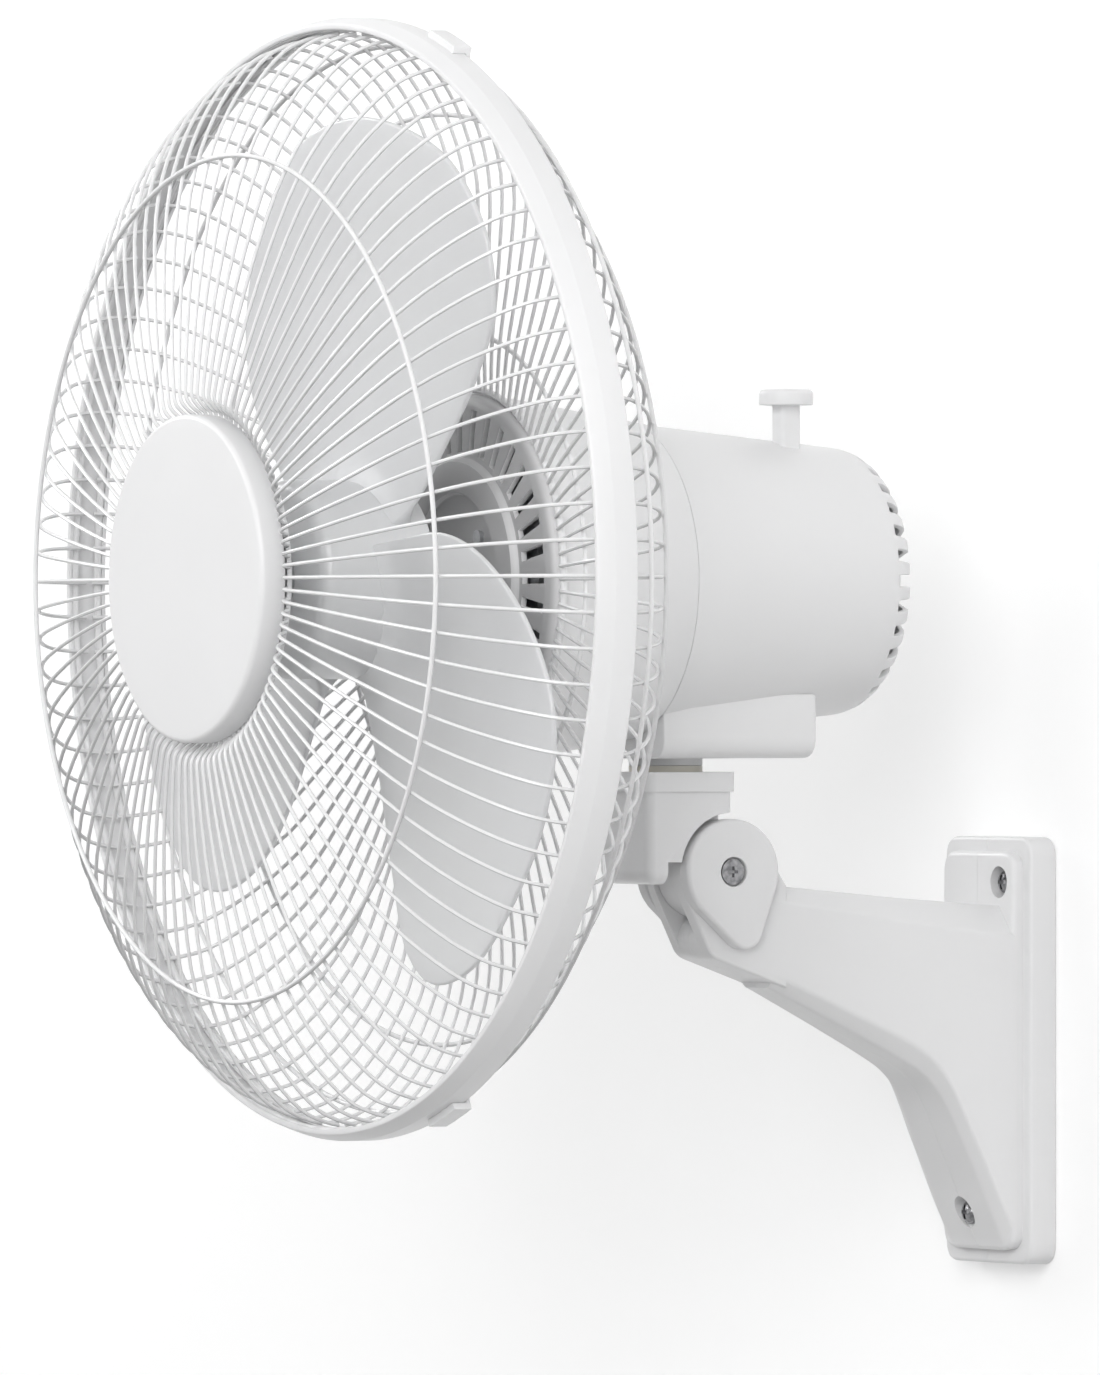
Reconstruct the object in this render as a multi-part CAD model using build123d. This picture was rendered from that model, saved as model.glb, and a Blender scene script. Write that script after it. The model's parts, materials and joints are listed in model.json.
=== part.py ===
from build123d import *
import math
import os

# An oscillating wall fan: a caged three-blade head on a moulded arm.
# Millimetres. +Z up, +X to the right seen from the front, +Y into the wall.
# The origin is the middle of the wall plate, on the wall.
# The head is modelled about its own fan axis: "reach" runs along that axis towards
# the wall, from the middle of the guard's rim, and "drop" is the height below it.

# where the head hangs
ring_reach = 314.0
fan_axis_height = 192.0

# guard
guard_radius = 225.0
rim_depth = 17.0
rim_wall = 2.4
rim_lip = 5.0
rim_bevel = 5.0
wire_count = 96
wire_width = 1.6
ring_wire_width = 3.2
hoop_width = 2.2
front_ring_radius = 168.0
front_ring_reach = -49.0
badge_radius = 65.5
badge_reach = -72.0
badge_depth = 11.0
badge_crown = 1.4
shell_wall = 2.2
front_bend = (13.0, -19.0)
front_shoulder = (30.0, -34.5)
rear_bend = (12.0, 19.0)
rear_shoulder = (29.0, 35.0)
rear_hoop = (38.0, 41.0)
rear_turn = (168.0, 50.0)
inner_hoop_radius = 99.0
clip_angles = (70.0, 110.0, 250.0, 290.0)
clip_width = 22.0
clip_wall = 3.0

# blades
blade_count = 3
blade_radius = 185.0
blade_thickness = 2.4
blade_reach = -4.5
blade_first_angle = 90.0
blade_root_pitch = 9.0
blade_tip_pitch = 1.5
blade_camber = 7.0
blade_half_chord = 125.0
hub_radius = 40.0
hub_front = -29.0
hub_depth = 50.0
hub_edge = 6.0
spinner_radius = 14.0
spinner_depth = 13.0

# motor
shaft_radius = 4.0
running_gap = 0.05
cover_front = 54.0
cover_radius = 75.0
cover_edge = 5.0
cover_rear = 128.0
cover_rear_radius = 65.0
casing_wall = 2.5
cover_slots = 36
cover_slot_width = 3.8
collar_radius = 49.0
collar_width = 15.0
collar_rise = 3.5
stator_radius = 50.0
stator_front = 78.0
stator_length = 34.0
rotor_radius = 25.5
air_gap = 0.5
winding_depth = 8.0
shield_wall = 3.0
bush_radius = 8.0
bush_length = 12.0

# housing behind the motor
dome_gap = 24.5
dome_radius = 55.0
dome_depth = 21.0
dome_band = 6.0
dome_slots = 32
dome_slot_width = 4.8
dome_slot_root = 34.0
housing_screw_sides = (-8.0, 22.0)
screw_seat_depth = 14.0
box_half_width = 36.0
box_drop = 72.0
box_front = 128.0
box_rear = 200.0
box_corner = 9.0

# worm drive, clutch knob and crank
worm_pitch = 2.5
worm_radius = 3.6
worm_core = 2.4
tooth_height = 0.9
wheel_teeth = 28
wheel_width = 4.0
gear_reach = 197.5
dome_reach = gear_reach + dome_gap
spindle_radius = 3.0
pinion_teeth = 9
crank_teeth = 27
gear_module = 1.0
crank_radius = 9.0
crank_pin_radius = 2.0
knob_radius = 11.0
knob_cap = 6.4
knob_stem = 9.4
knob_height = 77.8
knob_travel = 8.0

# neck and its upright pivot
pivot_reach = 149.5
pivot_radius = 7.0
pivot_washer = 2.5
neck_half_width = 22.0
neck_length = 43.0
neck_top = 77.5
neck_rim = 8.0
neck_rim_step = 1.4
neck_bottom = 123.0
neck_leg = 11.0
neck_bulge = 24.0
neck_sill = 6.0
anchor_radius = 14.0
link_width = 8.0
link_thickness = 4.0
link_eye_gap = 1.7

# tilt joint
tilt_reach = 169.0
tilt_drop = 118.0
tilt_bolt_radius = 4.0
tongue_half = 7.95
tongue_radius = 19.0
fork_half = 15.0
fork_slot_half = 8.5
knuckle_radius = 21.0
chin_radius = 9.0
chin_drop = 27.5
ear_radius = 21.5
ear_tip_radius = 8.0
ear_tip_reach = 174.9
ear_tip_drop = 141.5
ear_depth = 7.0
screw_well_radius = 6.0

# wall plate and arm
plate_half_width = 34.0
plate_height = 175.0
plate_flange = 12.0
plate_raise = 5.0
plate_step = 6.0
plate_corner = 9.0
bracket_wall = 2.6
wall_screw_radius = 2.25
wall_screw_length = 30.0
screw_well = 6.5
screw_top = (17.0, 69.0)
screw_top_seat = -7.0
screw_low = (0.0, -66.5)
screw_low_seat = -19.0
seam_screw_radius = 1.5
seam_post_radius = 4.5

os.makedirs("parts", exist_ok=True)
nodes = {}
head_place = Pos(0, -ring_reach, fan_axis_height)


def turned(*points):
    """A solid turned about the fan axis from (radius, reach) points."""
    return revolve(make_face(Polyline(*points, close=True)), Axis.Y)


def disc(radius, start, end, at=(0, 0)):
    """A round bar along the fan axis, its centre at (x, z)."""
    bar = extrude(Plane.XZ * Circle(radius), amount=start - end)
    return Pos(at[0], start, at[1]) * bar


def post(radius, bottom, top, at):
    """An upright round bar, its centre at (x, reach)."""
    return Pos(at[0], at[1], bottom) * extrude(Circle(radius), amount=top - bottom)


def cross_bar(radius, left, right, at):
    """A round bar from side to side, its centre at (reach, height)."""
    bar = extrude(Plane.YZ * Circle(radius), amount=right - left)
    return Pos(left, at[0], at[1]) * bar


def block(x, y, z):
    """A plain block between two corners given as ranges."""
    size = (x[1] - x[0], y[1] - y[0], z[1] - z[0])
    middle = ((x[0] + x[1]) / 2, (y[0] + y[1]) / 2, (z[0] + z[1]) / 2)
    return Pos(*middle) * Box(*size)


def around(shape, count, first=0.0):
    """Copies of a shape, spaced evenly about the fan axis."""
    return [Rot(0, -first - 360.0 * i / count, 0) * shape for i in range(count)]


def keep(name, shapes, place=head_place):
    """Files a node under its name, as one or more separate solids."""
    if not isinstance(shapes, (list, tuple)):
        shapes = [shapes]
    solids = [solid for shape in shapes for solid in (place * shape).solids()]
    nodes[name] = solids[0] if len(solids) == 1 else Compound(children=solids)


# ---- guard ----

rim_half = rim_depth / 2
rim_inner = guard_radius - rim_lip
ring_radius = guard_radius - rim_wall - ring_wire_width / 2
ring_seat = rim_half - rim_wall * 0.7 - ring_wire_width / 2


def guard_rim():
    """The plastic band, a channel open to the inside, bevelled in front."""
    lip = rim_wall * 0.7
    return turned(
        (rim_inner, -rim_half),
        (guard_radius - 1.8, -rim_half),
        (guard_radius, rim_bevel - rim_half),
        (guard_radius, rim_half),
        (rim_inner, rim_half),
        (rim_inner, rim_half - lip),
        (guard_radius - rim_wall, rim_half - lip),
        (guard_radius - rim_wall, lip - rim_half),
        (rim_inner, lip - rim_half),
    )


def ring_wire(radius, reach, width=hoop_width):
    """A wire hoop about the fan axis, square in section."""
    half = width / 2
    return turned(
        (radius - half, reach - half),
        (radius + half, reach - half),
        (radius + half, reach + half),
        (radius - half, reach + half),
    )


def wires(points):
    """One bent wire along (radius, reach) points, repeated round the guard."""
    path = trace(Polyline(*points), line_width=wire_width)
    return around(extrude(path, amount=wire_width / 2, both=True), wire_count)


wire_start = ring_radius - ring_wire_width / 2 - wire_width / 2
badge_back = badge_reach + badge_depth
wire_seat = badge_back + wire_width
front_wire = [
    (wire_start, -1.5),
    (guard_radius - front_bend[0], front_bend[1]),
    (guard_radius - front_shoulder[0], front_shoulder[1]),
    (front_ring_radius, front_ring_reach),
    (badge_radius + 7, badge_reach + 5.5),
    (badge_radius + 1.5, wire_seat),
    (badge_radius - 4.5, wire_seat),
]
mount_ring_radius = cover_radius + ring_wire_width / 2
mount_reach = cover_front + cover_edge
back_wire = [
    (wire_start, 1.5),
    (guard_radius - rear_bend[0], rear_bend[1]),
    (guard_radius - rear_shoulder[0], rear_shoulder[1]),
    rear_turn,
    (inner_hoop_radius, cover_front),
    (mount_ring_radius, mount_reach - wire_width),
]
outside = (hoop_width + wire_width) / 2 - 0.3
badge_ring = (badge_radius - 5.0, wire_seat - outside)

keep("guard_rim", guard_rim())
keep("front_guard_wires", wires(front_wire))
keep(
    "front_guard_rings",
    [
        ring_wire(ring_radius, -ring_seat, ring_wire_width),
        ring_wire(front_ring_radius + 1, front_ring_reach - outside),
        ring_wire(*badge_ring),
    ],
)
keep("rear_guard_wires", wires(back_wire))
keep(
    "rear_guard_rings",
    [
        ring_wire(ring_radius, ring_seat, ring_wire_width),
        ring_wire(guard_radius - rear_bend[0] + 1, rear_bend[1] + outside),
        ring_wire(guard_radius - rear_hoop[0], rear_hoop[1] + outside),
        ring_wire(inner_hoop_radius, cover_front + outside),
        ring_wire(mount_ring_radius, mount_reach, ring_wire_width),
    ],
)


def badge():
    """The plain front badge: a crowned cap with a rounded edge and three screw posts."""
    edge = 5.0
    rim = badge_reach + edge
    inner = badge_radius - shell_wall
    crown = badge_reach - badge_crown
    with BuildSketch() as outline:
        with BuildLine():
            ThreePointArc((0, crown), (30, crown + 0.3), (badge_radius - edge, badge_reach))
            RadiusArc((badge_radius - edge, badge_reach), (badge_radius, rim), edge)
            Line((badge_radius, rim), (badge_radius, badge_back))
            Line((badge_radius, badge_back), (inner, badge_back))
            Line((inner, badge_back), (inner, rim + 1))
            Line((inner, rim + 1), (inner - edge + 1, badge_reach + shell_wall))
            Line((inner - edge + 1, badge_reach + shell_wall), (0, badge_reach + shell_wall))
            Line((0, badge_reach + shell_wall), (0, crown))
        make_face()
    cap = revolve(outline.sketch, Axis.Y)
    for stud in around(disc(4.0, badge_reach + 2, wire_seat + wire_width / 2, (45, 0)), 3, 90):
        cap += stud
    for hole in around(disc(1.4, badge_reach + 4, wire_seat + 5, (45, 0)), 3, 90):
        cap -= hole
    return cap


disc_front = wire_seat + wire_width / 2
badge_plate = disc(badge_radius - 3, disc_front, disc_front + 2)
for hole in around(disc(1.7, disc_front - 1, disc_front + 3, (45, 0)), 3, 90):
    badge_plate -= hole
badge_screw = disc(1.4, disc_front - 5, disc_front + 2, (45, 0))
badge_screw += disc(3.0, disc_front + 2, disc_front + 4, (45, 0))
keep("guard_badge", badge())
keep("badge_back_plate", badge_plate)
keep("badge_screws", around(badge_screw, 3, 90))


def rim_clip():
    """A clip that hooks over the rim and pinches both lips together."""
    legs = clip_wall * 0.7
    outer = guard_radius + clip_wall
    low = guard_radius - rim_lip + 1
    points = [
        (low, -rim_half - legs),
        (guard_radius, -rim_half - legs),
        (outer, -rim_half + 1),
        (outer, rim_half + legs),
        (low, rim_half + legs),
        (low, rim_half),
        (guard_radius, rim_half),
        (guard_radius, rim_bevel - rim_half),
        (guard_radius - 1.8, -rim_half),
        (low, -rim_half),
    ]
    arc = math.degrees(clip_width / guard_radius)
    face = make_face(Polyline(*points, close=True))
    return Rot(0, arc / 2, 0) * revolve(face, Axis.Y, revolution_arc=-arc)


clip = rim_clip()
keep("rim_clips", [Rot(0, -angle, 0) * clip for angle in clip_angles])

# ---- blades ----

hub_rear = hub_front + hub_depth


def hub():
    inner = hub_radius - shell_wall
    cup = turned(
        (0, hub_front),
        (hub_radius - hub_edge, hub_front),
        (hub_radius - hub_edge / 3, hub_front + hub_edge / 3),
        (hub_radius, hub_front + hub_edge),
        (hub_radius, hub_rear),
        (inner, hub_rear),
        (inner, hub_front + hub_edge + 1),
        (inner - hub_edge, hub_front + shell_wall + 1),
        (0, hub_front + shell_wall + 1),
    )
    cup += disc(10.0, hub_front + 1, hub_rear)
    rib = block((9, inner + 1), (-26, hub_rear - 6), (-1, 1))
    for web in around(rib, 6, 30):
        cup += web
    return cup - disc(shaft_radius, hub_front - 1, hub_rear + 1)


def blade_cut(out):
    """The blade's cross-section, cut square to its middle line at a distance out."""
    share = (out - hub_radius) / (blade_radius - hub_radius)
    pitch = math.radians(blade_root_pitch + (blade_tip_pitch - blade_root_pitch) * share)
    chord = blade_half_chord
    plane = Plane(
        origin=(0, blade_reach, out),
        x_dir=(math.cos(pitch), math.sin(pitch), 0),
        z_dir=(0, 0, 1),
    )
    with BuildSketch(plane) as cut:
        with BuildLine():
            ThreePointArc((-chord, 0), (0, blade_camber), (chord, 0))
            Line((chord, 0), (chord, blade_thickness))
            ThreePointArc(
                (chord, blade_thickness),
                (0, blade_camber + blade_thickness),
                (-chord, blade_thickness),
            )
            Line((-chord, blade_thickness), (-chord, 0))
        make_face()
    return cut.sketch


def blade():
    """One wide paddle: a twisted sheet trimmed to the outline seen from the front."""
    sheet = loft([blade_cut(out) for out in (10.0, 75.0, 130.0, blade_radius + 5)])
    tip = blade_radius
    outline = [
        (4, 2),
        (40, 27),
        (62, 49),
        (90, 78),
        (109, 106),
        (108, tip - 50),
        (85, tip - 22),
        (47, tip - 6),
        (0, tip),
        (-38, tip - 10),
        (-60, tip - 36),
        (-70, 110),
        (-64, 76),
        (-44, 44),
        (-20, 14),
    ]
    face = make_face(Spline(*outline, periodic=True))
    trim = Rot(90, 0, 0) * extrude(face, amount=80, both=True)
    return (sheet & trim) - disc(hub_radius - 1, -80, 80)


paddles = hub()
for paddle in around(blade(), blade_count, blade_first_angle - 90.0):
    paddles += paddle
keep("fan_blades", paddles)

spinner = turned(
    (0, hub_front - spinner_depth),
    (spinner_radius - 6, hub_front - spinner_depth + 1),
    (spinner_radius, hub_front - 4),
    (spinner_radius, hub_front),
    (0, hub_front),
) - disc(shaft_radius, hub_front - 8, hub_front + 1)
keep("blade_nut", spinner)

# ---- motor ----

cover_inner = cover_radius - casing_wall


def front_cover():
    """The flared motor cover, its front wall slotted for air."""
    wall = casing_wall
    shoulder = cover_front + 12
    cover = turned(
        (bush_radius + 6, cover_front),
        (collar_radius - collar_width, cover_front),
        (collar_radius - collar_width + 1, cover_front - collar_rise),
        (collar_radius - 3, cover_front - collar_rise),
        (collar_radius, cover_front - 1),
        (collar_radius, cover_front),
        (cover_radius - cover_edge, cover_front),
        (cover_radius, cover_front + cover_edge),
        (cover_radius - 0.5, shoulder),
        (cover_rear_radius, cover_rear),
        (cover_rear_radius - wall, cover_rear),
        (cover_radius - 0.5 - wall, shoulder),
        (cover_inner, cover_front + cover_edge + 1),
        (cover_radius - cover_edge - 1, cover_front + wall),
        (bush_radius + 6, cover_front + wall),
    )
    slot = block(
        (collar_radius + 2.5, cover_radius - cover_edge - 1),
        (cover_front - 1, cover_front + wall + 1),
        (-cover_slot_width / 2, cover_slot_width / 2),
    )
    for cut in around(slot, cover_slots):
        cover -= cut
    for hole in around(disc(1.6, cover_front - 1, cover_front + wall + 1, (24, 0)), 4, 45):
        cover -= hole
    return cover


shield_radius = stator_radius + 2
seat_radius = 30.0
shield_front = cover_front + casing_wall
stator_rear = stator_front + stator_length
rear_shield = stator_rear + 12
bolt_circle = stator_radius - 4
bolt_radius = 1.9
through_bolt = disc(bolt_radius, shield_front, rear_shield + 6, (bolt_circle, 0))


def shield(toward, seat, plate, rim_end, name):
    """A cup-shaped end shield: plate, rim on the stator and a boss for the bush."""
    inner = plate + toward * shield_wall
    body = turned(
        (bush_radius, seat),
        (seat_radius, seat),
        (seat_radius, plate),
        (shield_radius, plate),
        (shield_radius, rim_end),
        (shield_radius - 3, rim_end),
        (shield_radius - 3, inner),
        (bush_radius + 4, inner),
        (bush_radius + 4, seat + toward * bush_length),
        (bush_radius, seat + toward * bush_length),
    )
    for hole in around(through_bolt, 4):
        body -= hole
    for hole in around(disc(1.5, cover_front, shield_front + 4, (24, 0)), 4, 45):
        body -= hole
    keep(name, body)


shield(1, shield_front, shield_front + 5, stator_front, "front_end_shield")
shield(-1, rear_shield + 6, rear_shield, stator_rear, "rear_end_shield")
cover_screw = disc(1.5, cover_front, shield_front + 4, (24, 0))
cover_screw += disc(3.0, cover_front - 1.8, cover_front, (24, 0))
keep("cover_screws", around(cover_screw, 4, 45))

bush_ring = disc(bush_radius, 0, bush_length) - disc(
    shaft_radius + running_gap, -1, bush_length + 1
)
keep(
    "bearing_bushes",
    [
        Pos(0, shield_front, 0) * bush_ring,
        Pos(0, rear_shield + 6 - bush_length, 0) * bush_ring,
    ],
)

stator_bore = rotor_radius + air_gap
stator = disc(stator_radius, stator_front, stator_rear) - disc(
    stator_bore, stator_front - 1, stator_rear + 1
)
slot = block(
    (stator_bore - 2, stator_bore + 11), (stator_front - 1, stator_rear + 1), (-2.5, 2.5)
)
for cut in around(slot, 8, 22.5) + around(through_bolt, 4):
    stator -= cut
keep("stator_core", stator)
coil = disc(stator_bore + 14, 0, winding_depth) - disc(stator_bore + 3, -1, winding_depth + 1)
keep(
    "stator_windings",
    [
        Pos(0, stator_front - winding_depth, 0) * coil,
        Pos(0, stator_rear, 0) * coil,
    ],
)
rotor = disc(rotor_radius, stator_front, stator_rear) - disc(
    shaft_radius, stator_front - 1, stator_rear + 1
)
keep("rotor_core", rotor)

motor_bolt = disc(bolt_radius, shield_front + 5, rear_shield + 2.5, (bolt_circle, 0))
motor_bolt += disc(3.4, shield_front + 2.5, shield_front + 5, (bolt_circle, 0))
motor_bolt += disc(3.4, rear_shield, rear_shield + 2.5, (bolt_circle, 0))
keep("motor_bolts", around(motor_bolt, 4))

keep("motor_front_cover", front_cover())

# ---- worm and clutch gears ----

wheel_radius = wheel_teeth * worm_pitch / (2 * math.pi)
wheel_side = worm_radius + wheel_radius
shaft_front = hub_front - 7
shaft_rear = gear_reach + 12
worm_start = gear_reach - 10


def worm_shaft():
    """The motor shaft, turned down behind and cut with a single-start worm."""
    shaft = disc(shaft_radius, shaft_front, worm_start)
    shaft += disc(worm_core, worm_start - 1, shaft_rear)
    path = Helix(worm_pitch, 2 * worm_pitch, worm_core - 0.3)
    tip = tooth_height + worm_radius - worm_core + 0.3
    flank = Plane(origin=path @ 0, x_dir=(1, 0, 0), z_dir=path % 0)
    thread = flank * Polygon((0, -0.75), (0, 0.75), (tip, 0.28), (tip, -0.28), align=None)
    ridge = Rot(-90, 0, 0) * sweep(thread, path=path, is_frenet=True)
    return shaft + Pos(0, gear_reach - worm_pitch, 0) * ridge


def gear(teeth, pitch_radius, height, depth, width, half_tooth, first=0.0):
    """A spur gear with straight-sided teeth, its bottom face at z = 0."""
    root = pitch_radius - depth
    tip = pitch_radius + height
    points = []
    for i in range(teeth):
        middle = math.radians(first + 360.0 * i / teeth)
        for radius, half in (
            (root, half_tooth * 1.5),
            (tip, half_tooth * 0.6),
            (tip, -half_tooth * 0.6),
            (root, -half_tooth * 1.5),
        ):
            turn = middle - half / radius
            points.append((radius * math.cos(turn), radius * math.sin(turn)))
    return extrude(make_face(Polyline(*points, close=True)), amount=width)


spindle_at = (wheel_side, gear_reach)
wheel = gear(
    wheel_teeth, wheel_radius, tooth_height, 1.25, wheel_width, 0.5, 180.0 / wheel_teeth
)
wheel -= Pos(0, 0, -1) * extrude(Circle(spindle_radius + running_gap), amount=wheel_width + 2)
keep("worm_shaft", worm_shaft())
keep("worm_wheel", Pos(*spindle_at, -wheel_width / 2) * wheel)

case_floor = -20.0
case_top = 14.0
case_wall = 3.0
screw_floor = dome_reach + screw_seat_depth
pinion_top = -30.0
gear_width = 6.0
spindle_top = 36.0
pinion_radius = pinion_teeth * gear_module / 2
crank_pitch = crank_teeth * gear_module / 2
crank_at = (wheel_side - pinion_radius - crank_pitch, gear_reach)
tooth = gear_module * math.pi / 4 - 0.12
pinion = gear(pinion_teeth, pinion_radius, 0.8, 1.1, gear_width + 1, tooth)
spindle = post(spindle_radius, pinion_top - 1, spindle_top, spindle_at)
spindle += Pos(*spindle_at, pinion_top - gear_width - 0.5) * pinion
spindle += post(spindle_radius + 2, -wheel_width / 2 - 3, -wheel_width / 2 - 0.1, spindle_at)
keep("clutch_spindle", spindle)

crank = gear(crank_teeth, crank_pitch, 0.8, 1.1, gear_width, tooth)
crank_bottom = pinion_top - gear_width
crank_pin_at = (crank_at[0] - crank_radius, gear_reach)
crank = Pos(*crank_at, crank_bottom) * crank
crank += post(crank_pin_radius + 2.5, crank_bottom - 2, crank_bottom + 0.5, crank_pin_at)
crank += post(crank_pin_radius, crank_bottom - 9, crank_bottom, crank_pin_at)
crank -= post(spindle_radius + running_gap, crank_bottom - 1, pinion_top + 1, crank_at)
keep("crank_gear", crank)

case_left = crank_at[0] - 9
case_right = wheel_side + 16
case_front = rear_shield + 6
case_rear = gear_reach + 17
case = block((case_left, case_right), (case_front, case_rear), (case_floor, case_top))
case -= block(
    (case_left + case_wall, case_right - case_wall),
    (case_front + case_wall, case_rear - case_wall),
    (case_floor + case_wall, case_top + 1),
)
case -= disc(shaft_radius + 0.3, case_front - 1, case_front + case_wall + 1)
case += disc(worm_core + 2.5, shaft_rear - 1, case_rear - 1)
case -= disc(worm_core + running_gap, shaft_rear - 3, shaft_rear + 0.1)
case += post(spindle_radius + 3, pinion_top + 0.2, case_floor + 1, crank_at)
case += post(spindle_radius, crank_bottom + 0.2, case_floor, crank_at)
case -= post(spindle_radius + running_gap, case_floor - 1, case_floor + case_wall + 1, spindle_at)
for x in housing_screw_sides:
    case -= disc(1.5, case_rear - case_wall, case_rear, (x, 0))
keep("gearbox_case", case)
lid = block((case_left, case_right), (case_front, case_rear), (case_top, case_top + case_wall))
lid -= post(spindle_radius + running_gap, case_top - 1, case_top + case_wall + 1, spindle_at)
keep("gearbox_lid", lid)

knob_bottom = spindle_top - 6
knob = post(knob_radius, knob_height - knob_cap, knob_height, spindle_at)
knob = fillet(knob.edges().group_by(Axis.Z)[-1], 2.0)
stem = RectangleRounded(knob_stem, knob_stem, 2.2)
knob += Pos(*spindle_at, knob_bottom) * extrude(stem, amount=knob_height - knob_cap - knob_bottom + 1)
knob -= post(spindle_radius + 0.3, knob_bottom - 1, spindle_top + knob_travel + 1, spindle_at)
keep("oscillation_knob", knob)

# ---- housing behind the motor ----


def housing_shape(inset):
    """The barrel and rear dome, and the gearbox bulge below, drawn in by a wall."""
    front = cover_rear - (0 if inset == 0 else 1)
    top = dome_reach + dome_depth - inset
    turn = (dome_radius - 8 - inset * 0.5, top - dome_depth * 0.29)
    with BuildSketch() as outline:
        with BuildLine():
            Polyline(
                (0, front),
                (cover_rear_radius - inset, front),
                (cover_rear_radius - 2 - inset, cover_rear + 12),
                (dome_radius - inset, dome_reach),
            )
            ThreePointArc(
                (dome_radius - inset, dome_reach),
                (dome_radius - 2 - inset, dome_reach + dome_depth * 0.4 - inset * 0.3),
                turn,
            )
            Spline(turn, (0, top), tangents=((-1, 0.25), (-1, 0)))
            Line((0, top), (0, front))
        make_face()
    barrel = Rot(0, 180.0 / dome_slots, 0) * revolve(outline.sketch, Axis.Y)
    box = block(
        (inset - box_half_width, box_half_width - inset),
        (box_front + inset, box_rear - inset),
        (inset - box_drop, 0),
    )
    low = box.edges().group_by(Axis.Z)[0]
    box = fillet(low.filter_by(Axis.Y), box_corner - inset)
    return barrel + box


def motor_housing():
    shell = housing_shape(0) - housing_shape(casing_wall)
    slot = block(
        (dome_slot_root, dome_radius),
        (dome_reach + dome_band, dome_reach + dome_depth),
        (-dome_slot_width / 2, dome_slot_width / 2),
    )
    for cut in around(slot, dome_slots):
        shell -= cut
    opening = RectangleRounded(knob_stem + 0.6, knob_stem + 0.6, 2.5)
    shell -= Pos(*spindle_at, 30) * extrude(opening, amount=40)
    for x in housing_screw_sides:
        shell += disc(4.5, case_rear, dome_reach + dome_depth, (x, 0)) & housing_shape(0)
        shell -= disc(1.7, case_rear - 1, screw_floor + 1, (x, 0))
        shell -= disc(3.4, screw_floor, dome_reach + dome_depth + 1, (x, 0))
    foot = (0, pivot_reach)
    shell += post(pivot_radius + 8, -neck_top + pivot_washer, -box_drop + 1, foot)
    shell += post(pivot_radius + 5, -box_drop, -56, foot)
    return shell - post(pivot_radius + running_gap, -neck_top, -50, foot)


keep("motor_housing", motor_housing())
housing_screws = []
for x in housing_screw_sides:
    screw = disc(1.5, case_rear - case_wall, screw_floor, (x, 0))
    housing_screws.append(screw + disc(3.0, screw_floor, screw_floor + 2.2, (x, 0)))
keep("housing_screws", housing_screws)

# ---- neck ----

tilt_at = (tilt_reach, -tilt_drop)
neck_front = pivot_reach - neck_length / 2
neck_rear = pivot_reach + neck_length / 2


def neck():
    """The block under the head, scooped round the tilt knuckle, with its tongue."""
    half = neck_half_width
    step = neck_rim_step
    rim = block((-half, half), (neck_front, neck_rear), (-neck_top - neck_rim, -neck_top))
    rim = fillet(rim.edges().filter_by(Axis.Z), 5.0)
    body = block(
        (step - half, half - step),
        (neck_front + step, neck_rear - step),
        (-neck_bottom, -neck_top - neck_rim),
    )
    body = fillet(body.edges().filter_by(Axis.Z), 4.0)
    sill = body.edges().filter_by(Axis.X).group_by(Axis.Z)[0]
    body = fillet(sill.group_by(Axis.Y)[0], neck_sill)
    scoop = cross_bar(neck_bulge, -half - 1, half + 1, tilt_at)
    scoop += block(
        (-half - 1, half + 1),
        (neck_front + neck_leg, neck_rear + 1),
        (-neck_bottom - 1, -neck_bottom + 9),
    )
    block_part = rim + body - scoop
    tongue = cross_bar(tongue_radius, -tongue_half, tongue_half, tilt_at)
    tongue += block(
        (-tongue_half, tongue_half),
        (tilt_reach - tongue_radius, neck_rear - step),
        (-tilt_drop, -neck_top - 4),
    )
    block_part += tongue
    block_part -= cross_bar(tilt_bolt_radius + running_gap, -half, half, tilt_at)
    return block_part - post(pivot_radius, -neck_top - 15, -neck_top + 1, (0, pivot_reach))


keep("neck_housing", neck())

arm_top = -49.0
arm_low = -54.0
clip_low = -55.9
pivot_at = (0, pivot_reach)
pivot = post(pivot_radius, -neck_top - 15, arm_top, pivot_at)
pivot -= post(1.6, arm_top - 12, arm_top + 1, pivot_at)
keep("oscillation_pivot", pivot)
washer = post(pivot_radius + 8, -neck_top, -neck_top + pivot_washer - 0.05, pivot_at)
washer -= post(pivot_radius, -neck_top - 1, -neck_top + pivot_washer + 1, pivot_at)
keep("thrust_washer", washer)
clip_ring = post(pivot_radius + 5, clip_low, arm_low, pivot_at)
clip_ring -= post(pivot_radius, clip_low - 1, arm_low + 1, pivot_at)
keep("pivot_clip", clip_ring)

anchor_at = (-anchor_radius, pivot_reach)
link_low = crank_bottom - 8.5
link_high = link_low + link_thickness
anchor = post(pivot_radius + 3, arm_low, arm_top, pivot_at)
anchor += block(
    (-anchor_radius, 0), (pivot_reach - 4, pivot_reach + 4), (arm_low, arm_top)
)
anchor += post(4.5, arm_low, arm_top, anchor_at)
anchor -= post(pivot_radius, arm_low - 1, arm_top + 1, pivot_at)
anchor += post(crank_pin_radius, arm_top, link_high + 1, anchor_at)
keep("anchor_arm", anchor)
screw = post(1.6, arm_top - 10, arm_top, pivot_at) + post(8.5, arm_top, arm_top + 1.8, pivot_at)
keep("pivot_screw", screw)

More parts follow.
